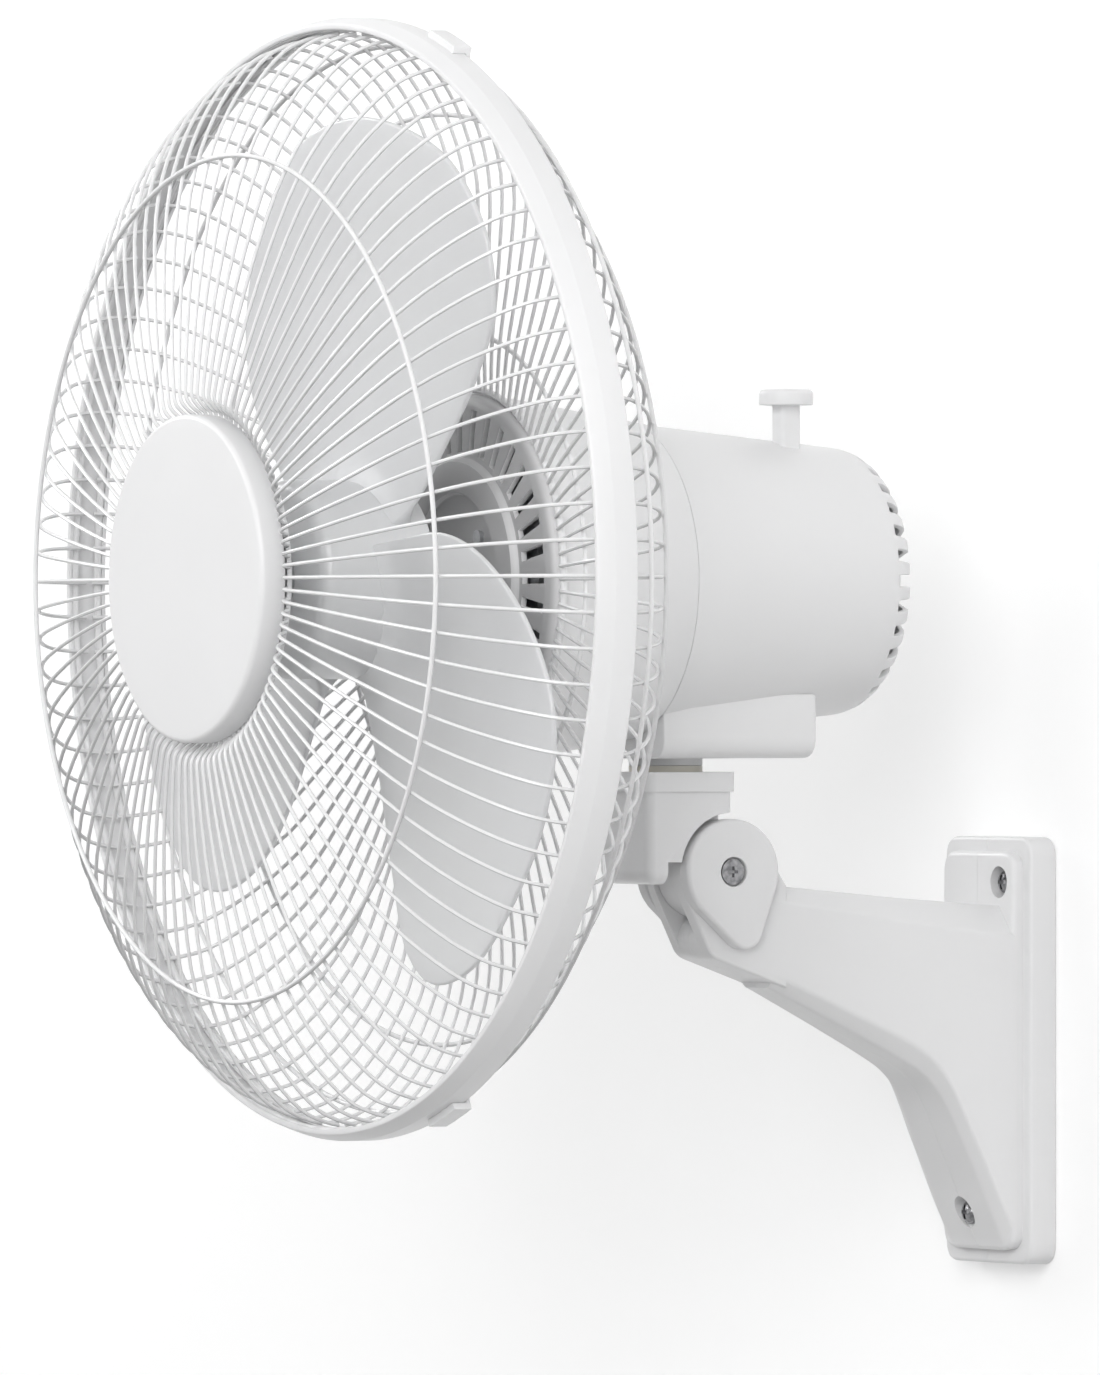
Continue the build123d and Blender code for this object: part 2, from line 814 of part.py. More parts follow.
link_bias = 1.3
eye_at = (crank_pin_at[0] + link_bias, gear_reach)
eye_hole = crank_pin_radius + link_eye_gap
link = post(4.5, link_low, link_high, anchor_at)
link += post(eye_hole + 2, link_low, link_high, eye_at)
mid = ((anchor_at[0] + eye_at[0]) / 2, (pivot_reach + gear_reach) / 2)
link += block(
    (mid[0] - link_width / 2, mid[0] + link_width / 2),
    (pivot_reach + 1, gear_reach - 1),
    (link_low, link_high),
)
link -= post(crank_pin_radius + running_gap, link_low - 1, link_high + 1, anchor_at)
link -= post(eye_hole, link_low - 1, link_high + 1, eye_at)
keep("crank_link", link)

# ---- tilt joint ----


def ear(side):
    """The teardrop cover outside the fork, with a round well for the tilt bolt."""
    tip_at = (ear_tip_reach, -ear_tip_drop)
    circles = [Pos(*tilt_at) * Circle(ear_radius), Pos(*tip_at) * Circle(ear_tip_radius)]
    outline = Plane.YZ * make_hull([circle.edge() for circle in circles])
    cover = Pos(fork_half, 0, 0) * extrude(outline, amount=ear_depth)
    cover = fillet(cover.edges().group_by(Axis.X)[-1], 2.0)
    outer = fork_half + ear_depth
    cover -= cross_bar(screw_well_radius, outer - 3.5, outer + 1, tilt_at)
    cover -= cross_bar(tilt_bolt_radius, fork_half - 1, outer, tilt_at)
    return cover if side > 0 else mirror(cover, Plane.YZ)


keep("tilt_cover_right", ear(1))
keep("tilt_cover_left", ear(-1))

well_floor = fork_half + ear_depth - 3.5
bolt_head = screw_well_radius - 0.8
tilt_bolt = cross_bar(tilt_bolt_radius, -well_floor - 3.0, well_floor, tilt_at)
tilt_bolt += cross_bar(bolt_head, well_floor, well_floor + 2.6, tilt_at)
for arm in ((0.6, 2.2), (2.2, 0.6)):
    recess = block((well_floor + 1.2, well_floor + 4), (-arm[0], arm[0]), (-arm[1], arm[1]))
    tilt_bolt -= Pos(0, *tilt_at) * recess
keep("tilt_bolt", tilt_bolt)
nut = extrude(Plane.YZ * RegularPolygon(bolt_head, 6), amount=-2.8)
nut = Pos(-well_floor, *tilt_at) * nut
keep("tilt_nut", nut - cross_bar(tilt_bolt_radius, -well_floor - 4, 0, tilt_at))
washer = cross_bar(14.0, tongue_half + 0.02, fork_slot_half, tilt_at)
washer -= cross_bar(tilt_bolt_radius, 0, fork_half, tilt_at)
keep("tilt_washers", [washer, mirror(washer, Plane.YZ)])

# ---- arm and wall plate, in the wall's own frame ----

knuckle_at = (tilt_reach - ring_reach, fan_axis_height - tilt_drop)
plate_front = -plate_flange - plate_raise
arm_start = -122.0
# stations along the arm: reach, half width, top, upper edge, lower edge, bottom, flats
arm_stations = (
    (arm_start, 15.0, 68.5, 61.8, 32.0, 26.0, 9.0, 9.0),
    (-64.0, 22.0, 63.0, 53.3, 5.0, -4.0, 13.0, 15.0),
    (-44.0, 25.0, 61.4, 50.5, -14.0, -21.0, 15.0, 18.0),
    (-29.0, 27.0, 60.0, 48.5, -46.0, -52.0, 16.0, 21.0),
    (plate_front + 1, 28.0, 59.5, 47.0, -73.0, -82.0, 17.0, 21.0),
)


def arm_section(station, inset):
    """One six-sided cut through the arm, drawn in by a wall thickness."""
    reach, half, top, upper, lower, bottom, top_flat, low_flat = station
    side = half - inset
    points = [
        (top_flat - inset / 2, top - inset),
        (side, upper - inset / 2),
        (side, lower + inset / 2),
        (low_flat - inset / 2, bottom + inset),
    ]
    points += [(-x, z) for x, z in reversed(points)]
    corners = [(x, reach, z) for x, z in points]
    return make_face(Polyline(*corners, close=True))


def arm_body(inset):
    return loft([arm_section(station, inset) for station in arm_stations], ruled=True)


def knuckle():
    """The fork end of the arm, round about the tilt bolt, with a chin below."""
    y, z = knuckle_at
    back = arm_start + 1
    chin_at = (y, z - chin_drop)
    joint = Pos(*knuckle_at) * Circle(knuckle_radius)
    chin = Pos(*chin_at) * Circle(chin_radius)
    root = Line((back, arm_stations[0][2]), (back, arm_stations[0][5]))
    outline = Plane.YZ * make_hull([joint.edge(), chin.edge(), root])
    slot = (-fork_slot_half, fork_slot_half)
    swing = tongue_radius + 1.5
    gap = cross_bar(swing, *slot, knuckle_at)
    gap += block(slot, (y - 40, y + swing), (z, z + 40))
    gap += block(slot, (y - 40, y), (z - chin_drop - chin_radius / 2, z)) - cross_bar(
        chin_radius, -fork_half, fork_half, chin_at
    )
    return extrude(outline, amount=fork_half, both=True) - gap


def rounded_plate(half_width, half_height, back, front):
    face = Plane.XZ * RectangleRounded(2 * half_width, 2 * half_height, plate_corner)
    return Pos(0, back, 0) * extrude(face, amount=back - front)


def wall_plate(inset):
    half_height = plate_height / 2
    back = 1.0 if inset else 0.0
    plate = rounded_plate(plate_half_width - inset, half_height - inset, back, -plate_flange + inset)
    raised = rounded_plate(
        plate_half_width - plate_step - inset,
        half_height - plate_step - inset,
        -plate_flange + inset + 1,
        plate_front + inset,
    )
    return plate + raised


seam_places = ((-100, 45), (-60, 25), (-35, -25), (-10, 40), (-10, -40))
seam_head = -8.4
seam_seat = -6.0
seam_end = 9.0
wall_screws_at = ((screw_top, screw_top_seat), (screw_low, screw_low_seat))


def bracket():
    """Plate, arm and fork as one hollow form, before it is split on the seam."""
    outer = wall_plate(0) + arm_body(0)
    shape = outer - (wall_plate(bracket_wall) + arm_body(bracket_wall)) + knuckle()
    for place in seam_places:
        shape += cross_bar(seam_post_radius, -40, 40, place) & outer
    for place, seat in wall_screws_at:
        shape += disc(screw_well + 2.5, -60, 0, place) & outer
        shape -= disc(screw_well, -90, seat, place)
        shape -= disc(wall_screw_radius + 0.25, seat - 1, 1, place)
    return shape - cross_bar(tilt_bolt_radius, -40, 40, knuckle_at)


def half(shape, side):
    """One half of the bracket, cut on the seam, with its screw holes."""
    keep_side = block((0, 60) if side > 0 else (-60, 0), (-200, 10), (-120, 120))
    part = shape & keep_side
    for place in seam_places:
        if side > 0:
            part -= cross_bar(seam_screw_radius, -1, seam_end + 1, place)
        else:
            part -= cross_bar(seam_screw_radius + 0.2, -40, 1, place)
            part -= cross_bar(3.6, -60, seam_seat, place)
    return part


def wall_screw(place, seat):
    """A round-headed screw with a cross recess, its threaded end out of the plate."""
    head = screw_well - 1.5
    screw = disc(wall_screw_radius - 0.25, seat, 1, place)
    screw += disc(wall_screw_radius, 0.5, wall_screw_length - 5, place)
    point = turned(
        (0, wall_screw_length - 5),
        (wall_screw_radius, wall_screw_length - 5),
        (0.3, wall_screw_length),
        (0, wall_screw_length),
    )
    dome = turned(
        (0, seat - 3.2),
        (head * 0.6, seat - 2.6),
        (head, seat - 1.0),
        (head, seat),
        (0, seat),
    )
    for arm in ((0.6, 2.6), (2.6, 0.6)):
        dome -= block((-arm[0], arm[0]), (seat - 4, seat - 1.4), (-arm[1], arm[1]))
    return screw + Pos(place[0], 0, place[1]) * (point + dome)


whole = bracket()
in_place = Pos(0, 0, 0)
keep("bracket_half_right", half(whole, 1), in_place)
keep("bracket_half_left", half(whole, -1), in_place)
seam_screws = []
for place in seam_places:
    screw = cross_bar(seam_screw_radius, seam_seat, seam_end, place)
    seam_screws.append(screw + cross_bar(3.2, seam_head, seam_seat, place))
keep("bracket_screws", seam_screws, in_place)
keep("wall_screws", [wall_screw(place, seat) for place, seat in wall_screws_at], in_place)

for name, item in nodes.items():
    export_step(item, f"parts/{name}.step")
print(len(nodes), "nodes")
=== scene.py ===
import bpy
import bmesh
import json
import math
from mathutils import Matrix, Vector


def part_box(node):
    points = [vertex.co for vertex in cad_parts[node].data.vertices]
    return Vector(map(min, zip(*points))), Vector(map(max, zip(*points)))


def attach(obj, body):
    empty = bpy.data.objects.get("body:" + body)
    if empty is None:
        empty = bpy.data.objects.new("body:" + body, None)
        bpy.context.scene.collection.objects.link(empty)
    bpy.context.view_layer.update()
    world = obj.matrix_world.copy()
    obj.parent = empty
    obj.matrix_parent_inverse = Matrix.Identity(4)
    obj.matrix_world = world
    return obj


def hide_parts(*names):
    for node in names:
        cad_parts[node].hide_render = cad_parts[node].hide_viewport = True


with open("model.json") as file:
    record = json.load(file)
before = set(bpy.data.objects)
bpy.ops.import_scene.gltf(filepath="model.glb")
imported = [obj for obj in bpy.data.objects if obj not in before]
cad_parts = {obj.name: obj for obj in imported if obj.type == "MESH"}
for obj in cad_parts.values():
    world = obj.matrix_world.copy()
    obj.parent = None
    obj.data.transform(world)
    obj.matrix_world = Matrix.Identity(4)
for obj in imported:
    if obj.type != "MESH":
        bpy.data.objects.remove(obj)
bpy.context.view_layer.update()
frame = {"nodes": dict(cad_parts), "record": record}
nodes = frame["nodes"]
print("frame loaded:", len(nodes), "nodes")

# lengths are millimetres until a point is placed; the head's pieces are drawn about the fan axis
mm = 0.001
weldGap = 2e-6  # metres: points nearer than this become one
axisGap = 1e-4  # points nearer to the axis than this are on it
past = 1.0  # a cut runs this far past the face that it opens
rimLow, rimHigh = [Vector(corner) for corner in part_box("guard_rim")]
axisHeight = (rimLow.z + rimHigh.z) / 2
ringPlane = (rimLow.y + rimHigh.y) / 2


def headPlace(x, reach, z):
    return Vector((x * mm, ringPlane + reach * mm, axisHeight + z * mm))


def wallPlace(x, y, z):
    return Vector((x, y, z)) * mm


class Wire:

    def __init__(self, shader, socket):
        self.shader, self.socket = shader, socket

    def maths(self, operation, other, swap=False):
        values = [other, self] if swap else [self, other]
        return self.shader.node("ShaderNodeMath", {"operation": operation}, dict(enumerate(values)))

    def __add__(self, other):
        return self.maths("ADD", other)

    def __sub__(self, other):
        return self.maths("SUBTRACT", other)

    def __rsub__(self, other):
        return self.maths("SUBTRACT", other, swap=True)

    def __mul__(self, other):
        return self.maths("MULTIPLY", other)

    __radd__ = __add__
    __rmul__ = __mul__


class Shader:

    def __init__(self, owner, output="ShaderNodeOutputMaterial"):
        owner.use_nodes = True
        self.owner, self.tree = owner, owner.node_tree
        self.tree.nodes.clear()
        self.out = self.tree.nodes.new(output)

    def node(self, kind, settings=None, inputs=None, output=0):
        made = self.tree.nodes.new(kind)
        for key, value in (settings or {}).items():
            if key == "stops":
                for stop, (place, colour) in zip(made.color_ramp.elements, value):
                    stop.position, stop.color = place, (*colour, 1)
            else:
                setattr(made, key, value)
        for key, value in (inputs or {}).items():
            if isinstance(value, Wire):
                self.tree.links.new(value.socket, made.inputs[key])
            else:
                made.inputs[key].default_value = value
        return Wire(self, made.outputs[output])

    def noise(self, scale, detail):
        place = self.node("ShaderNodeTexCoord", output="Object")
        return self.node("ShaderNodeTexNoise", {}, {"Vector": place, "Scale": scale, "Detail": detail})

    def facing(self, way):
        # 1 where the surface faces this way, -1 where it faces the other way
        normal = self.node("ShaderNodeTexCoord", output="Normal")
        return self.node("ShaderNodeVectorMath", {"operation": "DOT_PRODUCT"}, {0: normal, 1: way}, "Value")

    def ramp(self, value, span, colours):
        return self.node("ShaderNodeValToRGB", {"stops": zip(span, colours)}, {"Fac": value})

    def bump(self, height, strength, depth):
        return self.node("ShaderNodeBump", {}, {"Strength": strength, "Distance": depth, "Height": height})

    def coated(self, look, colour, roughness, normal):
        body = self.node("ShaderNodeBsdfPrincipled", {}, {
            "Base Color": colour, "Roughness": roughness, "Normal": normal,
            "IOR": look["ior"], "Coat Weight": look["coat"], "Coat Roughness": look["coatRoughness"],
        })
        return self.finish(body)

    def seenRays(self):
        # rays that see the surroundings: straight, in a reflection, or through something clear
        kinds = ("Is Camera Ray", "Is Glossy Ray", "Is Transmission Ray")
        camera, glossy, through = [self.node("ShaderNodeLightPath", output=kind) for kind in kinds]
        return camera + glossy + through

    def finish(self, surface):
        self.tree.links.new(surface.socket, self.out.inputs["Surface"])
        return self.owner


noiseSpan = (0.3, 0.7)  # most of a noise lies between these


def mouldedPlastic(name, look):
    s = Shader(bpy.data.materials.new(name))
    cloud, grain = s.noise(*look["cloud"]), s.noise(*look["grain"])
    colour = s.ramp(cloud, noiseSpan, (look["low"], look["high"]))
    rough = look["roughness"] + (cloud - 0.5) * look["cloudRough"] + (grain - 0.5) * look["grainRough"]
    return s.coated(look, colour, rough, s.bump(grain, *look["bump"]))


def paintedShadePlastic(name, look):
    # painted shade: the face turned the given way is coloured darker, mottled by noise
    s = Shader(bpy.data.materials.new(name))
    cloud, grain = s.noise(*look["cloud"]), s.noise(*look["grain"])
    paintedShade = s.facing(look["shadedWay"]) * look["shadeFacing"] + cloud * look["shadeCloud"]
    colour = s.ramp(paintedShade, look["shadeSpan"], (look["high"], look["paintedShade"]))
    rough = look["roughness"] + cloud * look["cloudRough"]
    return s.coated(look, colour, rough, s.bump(grain, *look["bump"]))


def powderCoat(name, look):
    s = Shader(bpy.data.materials.new(name))
    peel, cloud = s.noise(*look["peel"]), s.noise(*look["cloud"])
    # painted light and shade: each wire is coloured lighter on its upper sides and darker underneath, with
    # random patches in the coat's tone
    depth = s.facing(look["litWay"]) * look["shade"] + (cloud - 0.5) * look["patches"] + 0.5
    colour = s.ramp(depth, look["span"], (look["low"], look["high"]))
    rough = look["roughness"] + cloud * look["cloudRough"]
    return s.coated(look, colour, rough, s.bump(peel, *look["bump"]))


metalFinish = {"detail": 4.0, "roughSpread": 0.12, "markHeight": 0.0001}


def brightMetal(name, low, high, roughness, scale, marks):
    s = Shader(bpy.data.materials.new(name))
    lines = s.noise(scale, metalFinish["detail"])
    body = s.node("ShaderNodeBsdfPrincipled", {}, {
        "Base Color": s.ramp(lines, noiseSpan, (low, high)), "Metallic": 1.0,
        "Roughness": roughness + lines * metalFinish["roughSpread"],
        "Normal": s.bump(lines, marks, metalFinish["markHeight"]),
    })
    return s.finish(body)


# cloud, grain and peel are a noise's scale and detail, and bump is strength and height in metres
whiteLook = {
    "low": (0.80, 0.80, 0.805), "high": (0.83, 0.83, 0.835), "cloud": (9.0, 3.0), "grain": (2600.0, 2.0),
    "roughness": 0.36, "cloudRough": 0.08, "grainRough": 0.04, "bump": (0.10, 0.0002),
    "ior": 1.47, "coat": 0.12, "coatRoughness": 0.22,
}
bladeLook = {**whiteLook, "low": (0.70, 0.705, 0.715), "high": (0.73, 0.735, 0.74), "roughness": 0.30,
             "bump": (0.04, 0.0002), "coat": 0.25}
# painted shade: the nut is coloured mid grey for the shade at the hub's centre
nutLook = {**whiteLook, "low": (0.42, 0.43, 0.44), "high": (0.47, 0.48, 0.49)}
gearLook = {**whiteLook, "low": (0.74, 0.71, 0.62), "high": (0.80, 0.77, 0.68)}
# painted shade: the cover's front face is coloured darker, as if the blades shaded it
coverLook = {**whiteLook, "cloud": (9.0, 4.0), "paintedShade": (0.42, 0.42, 0.425), "shadedWay": (0.0, -1.0, 0.0),
             "shadeFacing": 0.8, "shadeCloud": 0.2, "shadeSpan": (0.3, 0.8)}
wireLook = {
    "low": (0.40, 0.40, 0.405), "high": (0.83, 0.83, 0.835), "span": (0.12, 0.62),
    # the way the painted light falls on the wires, and how strongly it darkens their other sides
    "litWay": (0.35, -0.25, 0.9), "shade": 0.45, "patches": 0.12,
    "peel": (900.0, 1.0), "cloud": (14.0, 2.0), "bump": (0.12, 0.0001),
    "roughness": 0.26, "cloudRough": 0.1, "ior": 1.5, "coat": 0.35, "coatRoughness": 0.12,
}
metalLooks = {
    # name, dark and light colour, roughness, scale and strength of the marks
    "zinc_steel": ("zincPlating", (0.52, 0.53, 0.55), (0.68, 0.69, 0.70), 0.30, 300.0, 0.08),
    "chrome_steel": ("chromeScrew", (0.16, 0.16, 0.17), (0.42, 0.42, 0.43), 0.12, 420.0, 0.05),
    "ground_steel": ("groundShaft", (0.50, 0.51, 0.53), (0.62, 0.63, 0.65), 0.24, 600.0, 0.10),
    "lamination_steel": ("laminations", (0.20, 0.20, 0.21), (0.30, 0.30, 0.31), 0.45, 900.0, 0.3),
    "cast_alloy": ("castAlloy", (0.48, 0.49, 0.50), (0.60, 0.61, 0.62), 0.42, 700.0, 0.3),
    "copper_wire": ("enamelledCopper", (0.55, 0.25, 0.11), (0.72, 0.37, 0.19), 0.28, 1200.0, 0.3),
    "bronze": ("sinteredBronze", (0.17, 0.13, 0.08), (0.28, 0.21, 0.13), 0.4, 1500.0, 0.2),
}

# by the record's material slots
materials = {
    "white_plastic": mouldedPlastic("whiteHousingPlastic", whiteLook),
    "blade_plastic": mouldedPlastic("bladePlastic", bladeLook),
    "painted_wire": powderCoat("powderCoatedWire", wireLook),
    "grey_plastic": mouldedPlastic("greyNutPlastic", nutLook),
    "gear_plastic": mouldedPlastic("gearPlastic", gearLook),
}
materials.update({slot: brightMetal(*look) for slot, look in metalLooks.items()})
coverPaintedShade = paintedShadePlastic("motorCoverPaintedShade", coverLook)
print("materials made:", len(materials))


# a mesh opened for changes, which are written back where the block ends
class OpenMesh:

    def __init__(self, mesh):
        self.mesh, self.work = mesh, bmesh.new()

    def __enter__(self):
        self.work.from_mesh(self.mesh)
        return self.work

    def __exit__(self, *reason):
        self.work.to_mesh(self.mesh)
        self.work.free()


def addObject(name, data):
    made = bpy.data.objects.new(name, data)
    bpy.context.collection.objects.link(made)
    return made


def addMesh(name, verts, faces):
    mesh = bpy.data.meshes.new(name)
    mesh.from_pydata([tuple(v) for v in verts], [], faces)
    return addObject(name, mesh)


def dress(made, body, slot, replaced, smoothAngle=40.0):
    # shading, finish, the body it rides on and the node it stands for
    limit = math.radians(smoothAngle)
    with OpenMesh(made.data) as work:
        bmesh.ops.remove_doubles(work, verts=work.verts, dist=weldGap)
        bmesh.ops.recalc_face_normals(work, faces=work.faces)
        for face in work.faces:
            face.smooth = True
        for edge in work.edges:
            edge.smooth = edge.is_manifold and edge.calc_face_angle(0.0) < limit
    made.data.materials.clear()
    made.data.materials.append(materials[slot])
    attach(made, body)
    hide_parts(*replaced)
    return made


def piece(name, verts, faces, body, slot, replaced, smoothAngle=35.0):
    made = addMesh(name, verts, faces)
    made.data.validate()
    return dress(made, body, slot, replaced, smoothAngle)


def soften(made, width, steps, angle):
    # rounds the edges that turn by more than this angle
    bevel = made.modifiers.new("edges", "BEVEL")
    bevel.width, bevel.segments, bevel.limit_method = width * mm, steps, "ANGLE"
    bevel.angle_limit, bevel.use_clamp_overlap = math.radians(angle), True
    bevel.miter_outer = "MITER_ARC"


def settle(made):
    # replaces the mesh with what its modifiers make of it
    graph = bpy.context.evaluated_depsgraph_get()
    result = bpy.data.meshes.new_from_object(made.evaluated_get(graph))
    made.modifiers.clear()
    made.data = result


def flat(points):
    return [Vector((x, y, 0)) for x, y in points]


def arcPoints(centre, radius, start, end, count):
    steps = [start + (end - start) * i / count for i in range(count + 1)]
    return [(centre[0] + radius * math.cos(a), centre[1] + radius * math.sin(a)) for a in steps]


def circle(centre, radius, count=48):
    return flat(arcPoints(centre, radius, 0, 2 * math.pi, count)[:-1])


def rectangle(x, y):
    return [(x[0], y[0]), (x[1], y[0]), (x[1], y[1]), (x[0], y[1])]


def roundedPath(points, radii, closed=True, steps=5):
    # rounds each corner by its radius, or by the one radius given for all
    made = []
    count = len(points)
    for i, point in enumerate(points):
        radius = radii[i] if isinstance(radii, (list, tuple)) else radii
        corner = Vector(point)
        if radius <= 0 or (not closed and i in (0, count - 1)):
            made.append(tuple(corner))
            continue
        before = Vector(points[i - 1]) - corner
        after = Vector(points[(i + 1) % count]) - corner
        angle = before.angle(after)
        # a corner takes less than half of either side
        reach = min(radius / math.tan(angle / 2), before.length * 0.49, after.length * 0.49)
        start = corner + before.normalized() * reach
        end = corner + after.normalized() * reach
        for k in range(steps + 1):
            t = k / steps
            made.append(tuple((1 - t) ** 2 * start + 2 * t * (1 - t) * corner + t * t * end))
    return made


def knotGap(a, b):
    return max((b - a).length, 1e-9) ** 0.5  # never zero, as the curve divides by it


def smoothPath(points, steps, closed=False):
    # a curve that runs through every point, evenly
    if closed:
        ends = [points[-1], *points, points[0], points[1]]
    else:
        ends = [2 * points[0] - points[1], *points, 2 * points[-1] - points[-2]]
    made = []
    for i in range(1, len(ends) - 2):
        p0, p1, p2, p3 = ends[i - 1:i + 3]
        t1 = knotGap(p0, p1)
        t2 = t1 + knotGap(p1, p2)
        t3 = t2 + knotGap(p2, p3)
        for k in range(steps):
            t = t1 + (t2 - t1) * k / steps
            a1 = p0 * ((t1 - t) / t1) + p1 * (t / t1)
            a2 = p1 * ((t2 - t) / (t2 - t1)) + p2 * ((t - t1) / (t2 - t1))
            a3 = p2 * ((t3 - t) / (t3 - t2)) + p3 * ((t - t2) / (t3 - t2))
            b1 = a1 * ((t2 - t) / t2) + a2 * (t / t2)
            b2 = a2 * ((t3 - t) / (t3 - t1)) + a3 * ((t - t1) / (t3 - t1))
            made.append(b1 * ((t2 - t) / (t2 - t1)) + b2 * ((t - t1) / (t2 - t1)))
    return made if closed else made + [points[-1]]


def offsetLoop(loop, inset):
    # moves a counter-clockwise loop inwards
    made, count = [], len(loop)
    for i, point in enumerate(loop):
        before = (point - loop[i - 1]).normalized()
        after = (loop[(i + 1) % count] - point).normalized()
        mean = (before + after).normalized()
        spread = max(0.5, mean.dot(after))  # a sharp corner moves by twice the inset at most
        made.append(point + Vector((-mean.y, mean.x, 0)) * inset / spread)
    return made


def band(a, b, steps=None):
    # the faces between two rings of points, with triangles where a ring is drawn in to one point
    faces = []
    for k in range(len(a)) if steps is None else steps:
        n = (k + 1) % len(a)
        ring = [a[k], a[n], b[n], b[k]]
        face = [v for j, v in enumerate(ring) if v != ring[j - 1]]
        if len(face) > 2:
            faces.append(face)
    return faces


def slab(loop, low, high, lowEdge, highEdge, place, steps=4):
    # a solid with this outline, both its ends rounded; each row of points has an inset and a level
    levels = []
    for k in range(steps + 1):
        t = math.pi / 2 * k / steps
        levels.append((lowEdge * (1 - math.sin(t)), low + lowEdge * (1 - math.cos(t))))
    for k in range(steps + 1):
        t = math.pi / 2 * k / steps
        levels.append((highEdge * (1 - math.cos(t)), high - highEdge * (1 - math.sin(t))))
    verts = [place(p.x, p.y, level) for inset, level in levels for p in offsetLoop(loop, inset)]
    count = len(loop)
    rows = [range(row * count, (row + 1) * count) for row in range(len(levels))]
    faces = [list(rows[0])[::-1], list(rows[-1])]
    for a, b in zip(rows, rows[1:]):
        faces += band(a, b)
    return verts, faces


def lathe(profile, segments, closed=True, place=headPlace):
    # turns (radius, reach) points about the axis; a point on the axis is one vertex
    verts, rows = [], []
    turns = [2 * math.pi * k / segments for k in range(segments)]
    for radius, reach in profile:
        start = len(verts)
        if radius < axisGap:
            verts.append(place(0, reach, 0))
            rows.append([start] * segments)
            continue
        verts += [place(radius * math.cos(t), reach, radius * math.sin(t)) for t in turns]
        rows.append(list(range(start, start + segments)))
    faces = []
    for a, b in zip(rows, rows[1:] + (rows[:1] if closed else [])):
        faces += band(a, b)
    return verts, faces


def torus(radius, reach, thick, segments=240, sides=10):
    return lathe(arcPoints((radius, reach), thick / 2, 0, 2 * math.pi, sides)[:-1], segments)


def join(meshes):
    verts, faces = [], []
    for v, f in meshes:
        base = len(verts)
        verts += v
        faces += [[i + base for i in face] for face in f]
    return verts, faces


# points are radius and reach from the rim's middle plane, front ones negative
guard = {
    "wires": 96, "wireThick": 1.6, "sides": 8, "pathSteps": 4,
    "front": [(218.6, -1.5), (216.8, -9.0), (212, -19), (195.5, -34.3), (168, -49), (122, -60.0),
              (80, -65.4), (72.5, -65.4), (68.6, -62.4), (66.4, -59.7), (61.0, -59.4)],
    "rear": [(218.6, 1.5), (217.2, 9.0), (213, 19), (196.5, 35), (168, 48.6), (132, 53.0), (99, 54.6),
             (76.6, 57.4)],
    "rimRing": (221.0, 5.2), "mount": (76.6, 59.0), "ringThick": 3.0, "mountSegments": 160,
    "frontHoops": [(169.0, -50.6), (60.5, -61.0)],
    "rearHoops": [(214.0, 20.6), (187.0, 42.6), (99.0, 56.3)], "hoopThick": 2.0,
}


def guardWires(points):
    path = smoothPath(flat(points), guard["pathSteps"])
    sides, thick = guard["sides"], guard["wireThick"] / 2
    verts, faces = [], []
    for w in range(guard["wires"]):
        angle = 2 * math.pi * w / guard["wires"]
        c, s = math.cos(angle), math.sin(angle)
        base = len(verts)
        for i, point in enumerate(path):
            ahead = path[min(i + 1, len(path) - 1)] - path[max(i - 1, 0)]
            side = Vector((-ahead.y, ahead.x)).normalized()
            for k in range(sides):
                turn = 2 * math.pi * k / sides
                out = point.x + side.x * math.cos(turn) * thick
                across = math.sin(turn) * thick
                reach = point.y + side.y * math.cos(turn) * thick
                verts.append(headPlace(out * c - across * s, reach, out * s + across * c))
        rows = [range(base + i * sides, base + (i + 1) * sides) for i in range(len(path))]
        for a, b in zip(rows, rows[1:]):
            faces += band(a, b)
        faces += [list(rows[0]), list(rows[-1])[::-1]]
    return verts, faces


def guardRings(side, hoops):
    # side is -1 for the front guard and 1 for the rear one
    radius, reach = guard["rimRing"]
    rimRing = torus(radius, side * reach, guard["ringThick"])
    return [rimRing] + [torus(r, y, guard["hoopThick"]) for r, y in hoops]


piece("frontGuardWires", *guardWires(guard["front"]), "head", "painted_wire", ["front_guard_wires"])
piece("rearGuardWires", *guardWires(guard["rear"]), "head", "painted_wire", ["rear_guard_wires"])
frontRings = guardRings(-1, guard["frontHoops"])
rearRings = guardRings(1, guard["rearHoops"])
rearRings.append(torus(*guard["mount"], guard["ringThick"], guard["mountSegments"]))
piece("frontGuardRings", *join(frontRings), "head", "painted_wire", ["front_guard_rings"])
piece("rearGuardRings", *join(rearRings), "head", "painted_wire", ["rear_guard_rings"])

rim = {"half": 8.5, "wall": 2.4, "lip": 1.7, "inner": 220.0, "outer": 225.0, "bevel": 7.0, "slope": 2.6,
       "edges": [0.7, 0.8, 0.5, 1.1, 0.6, 0.4, 0.3, 0.3, 0.4], "segments": 288}


def rimProfile():
    half, inner, outer = rim["half"], rim["inner"], rim["outer"]
    skin, lip = outer - rim["wall"], half - rim["lip"]
    corners = [(inner, -half), (outer - rim["slope"], -half), (outer, rim["bevel"] - half), (outer, half),
               (inner, half), (inner, lip), (skin, lip), (skin, -lip), (inner, -lip)]
    return roundedPath(corners, rim["edges"], steps=3)


rimMesh = lathe(rimProfile(), rim["segments"])
piece("guardRim", *rimMesh, "head", "white_plastic", ["guard_rim"], smoothAngle=60)

badge = {
    "radius": 65.5, "face": -72.0, "back": -61.0, "wall": 2.2, "edge": 2.2, "edgeSteps": 8, "backEdge": 0.4,
    "crown": 1.4, "crownPower": 2.4, "crownSteps": 14, "insideCrown": 0.6, "insideEdge": (4.0, 6.0),
    "segments": 192,
}


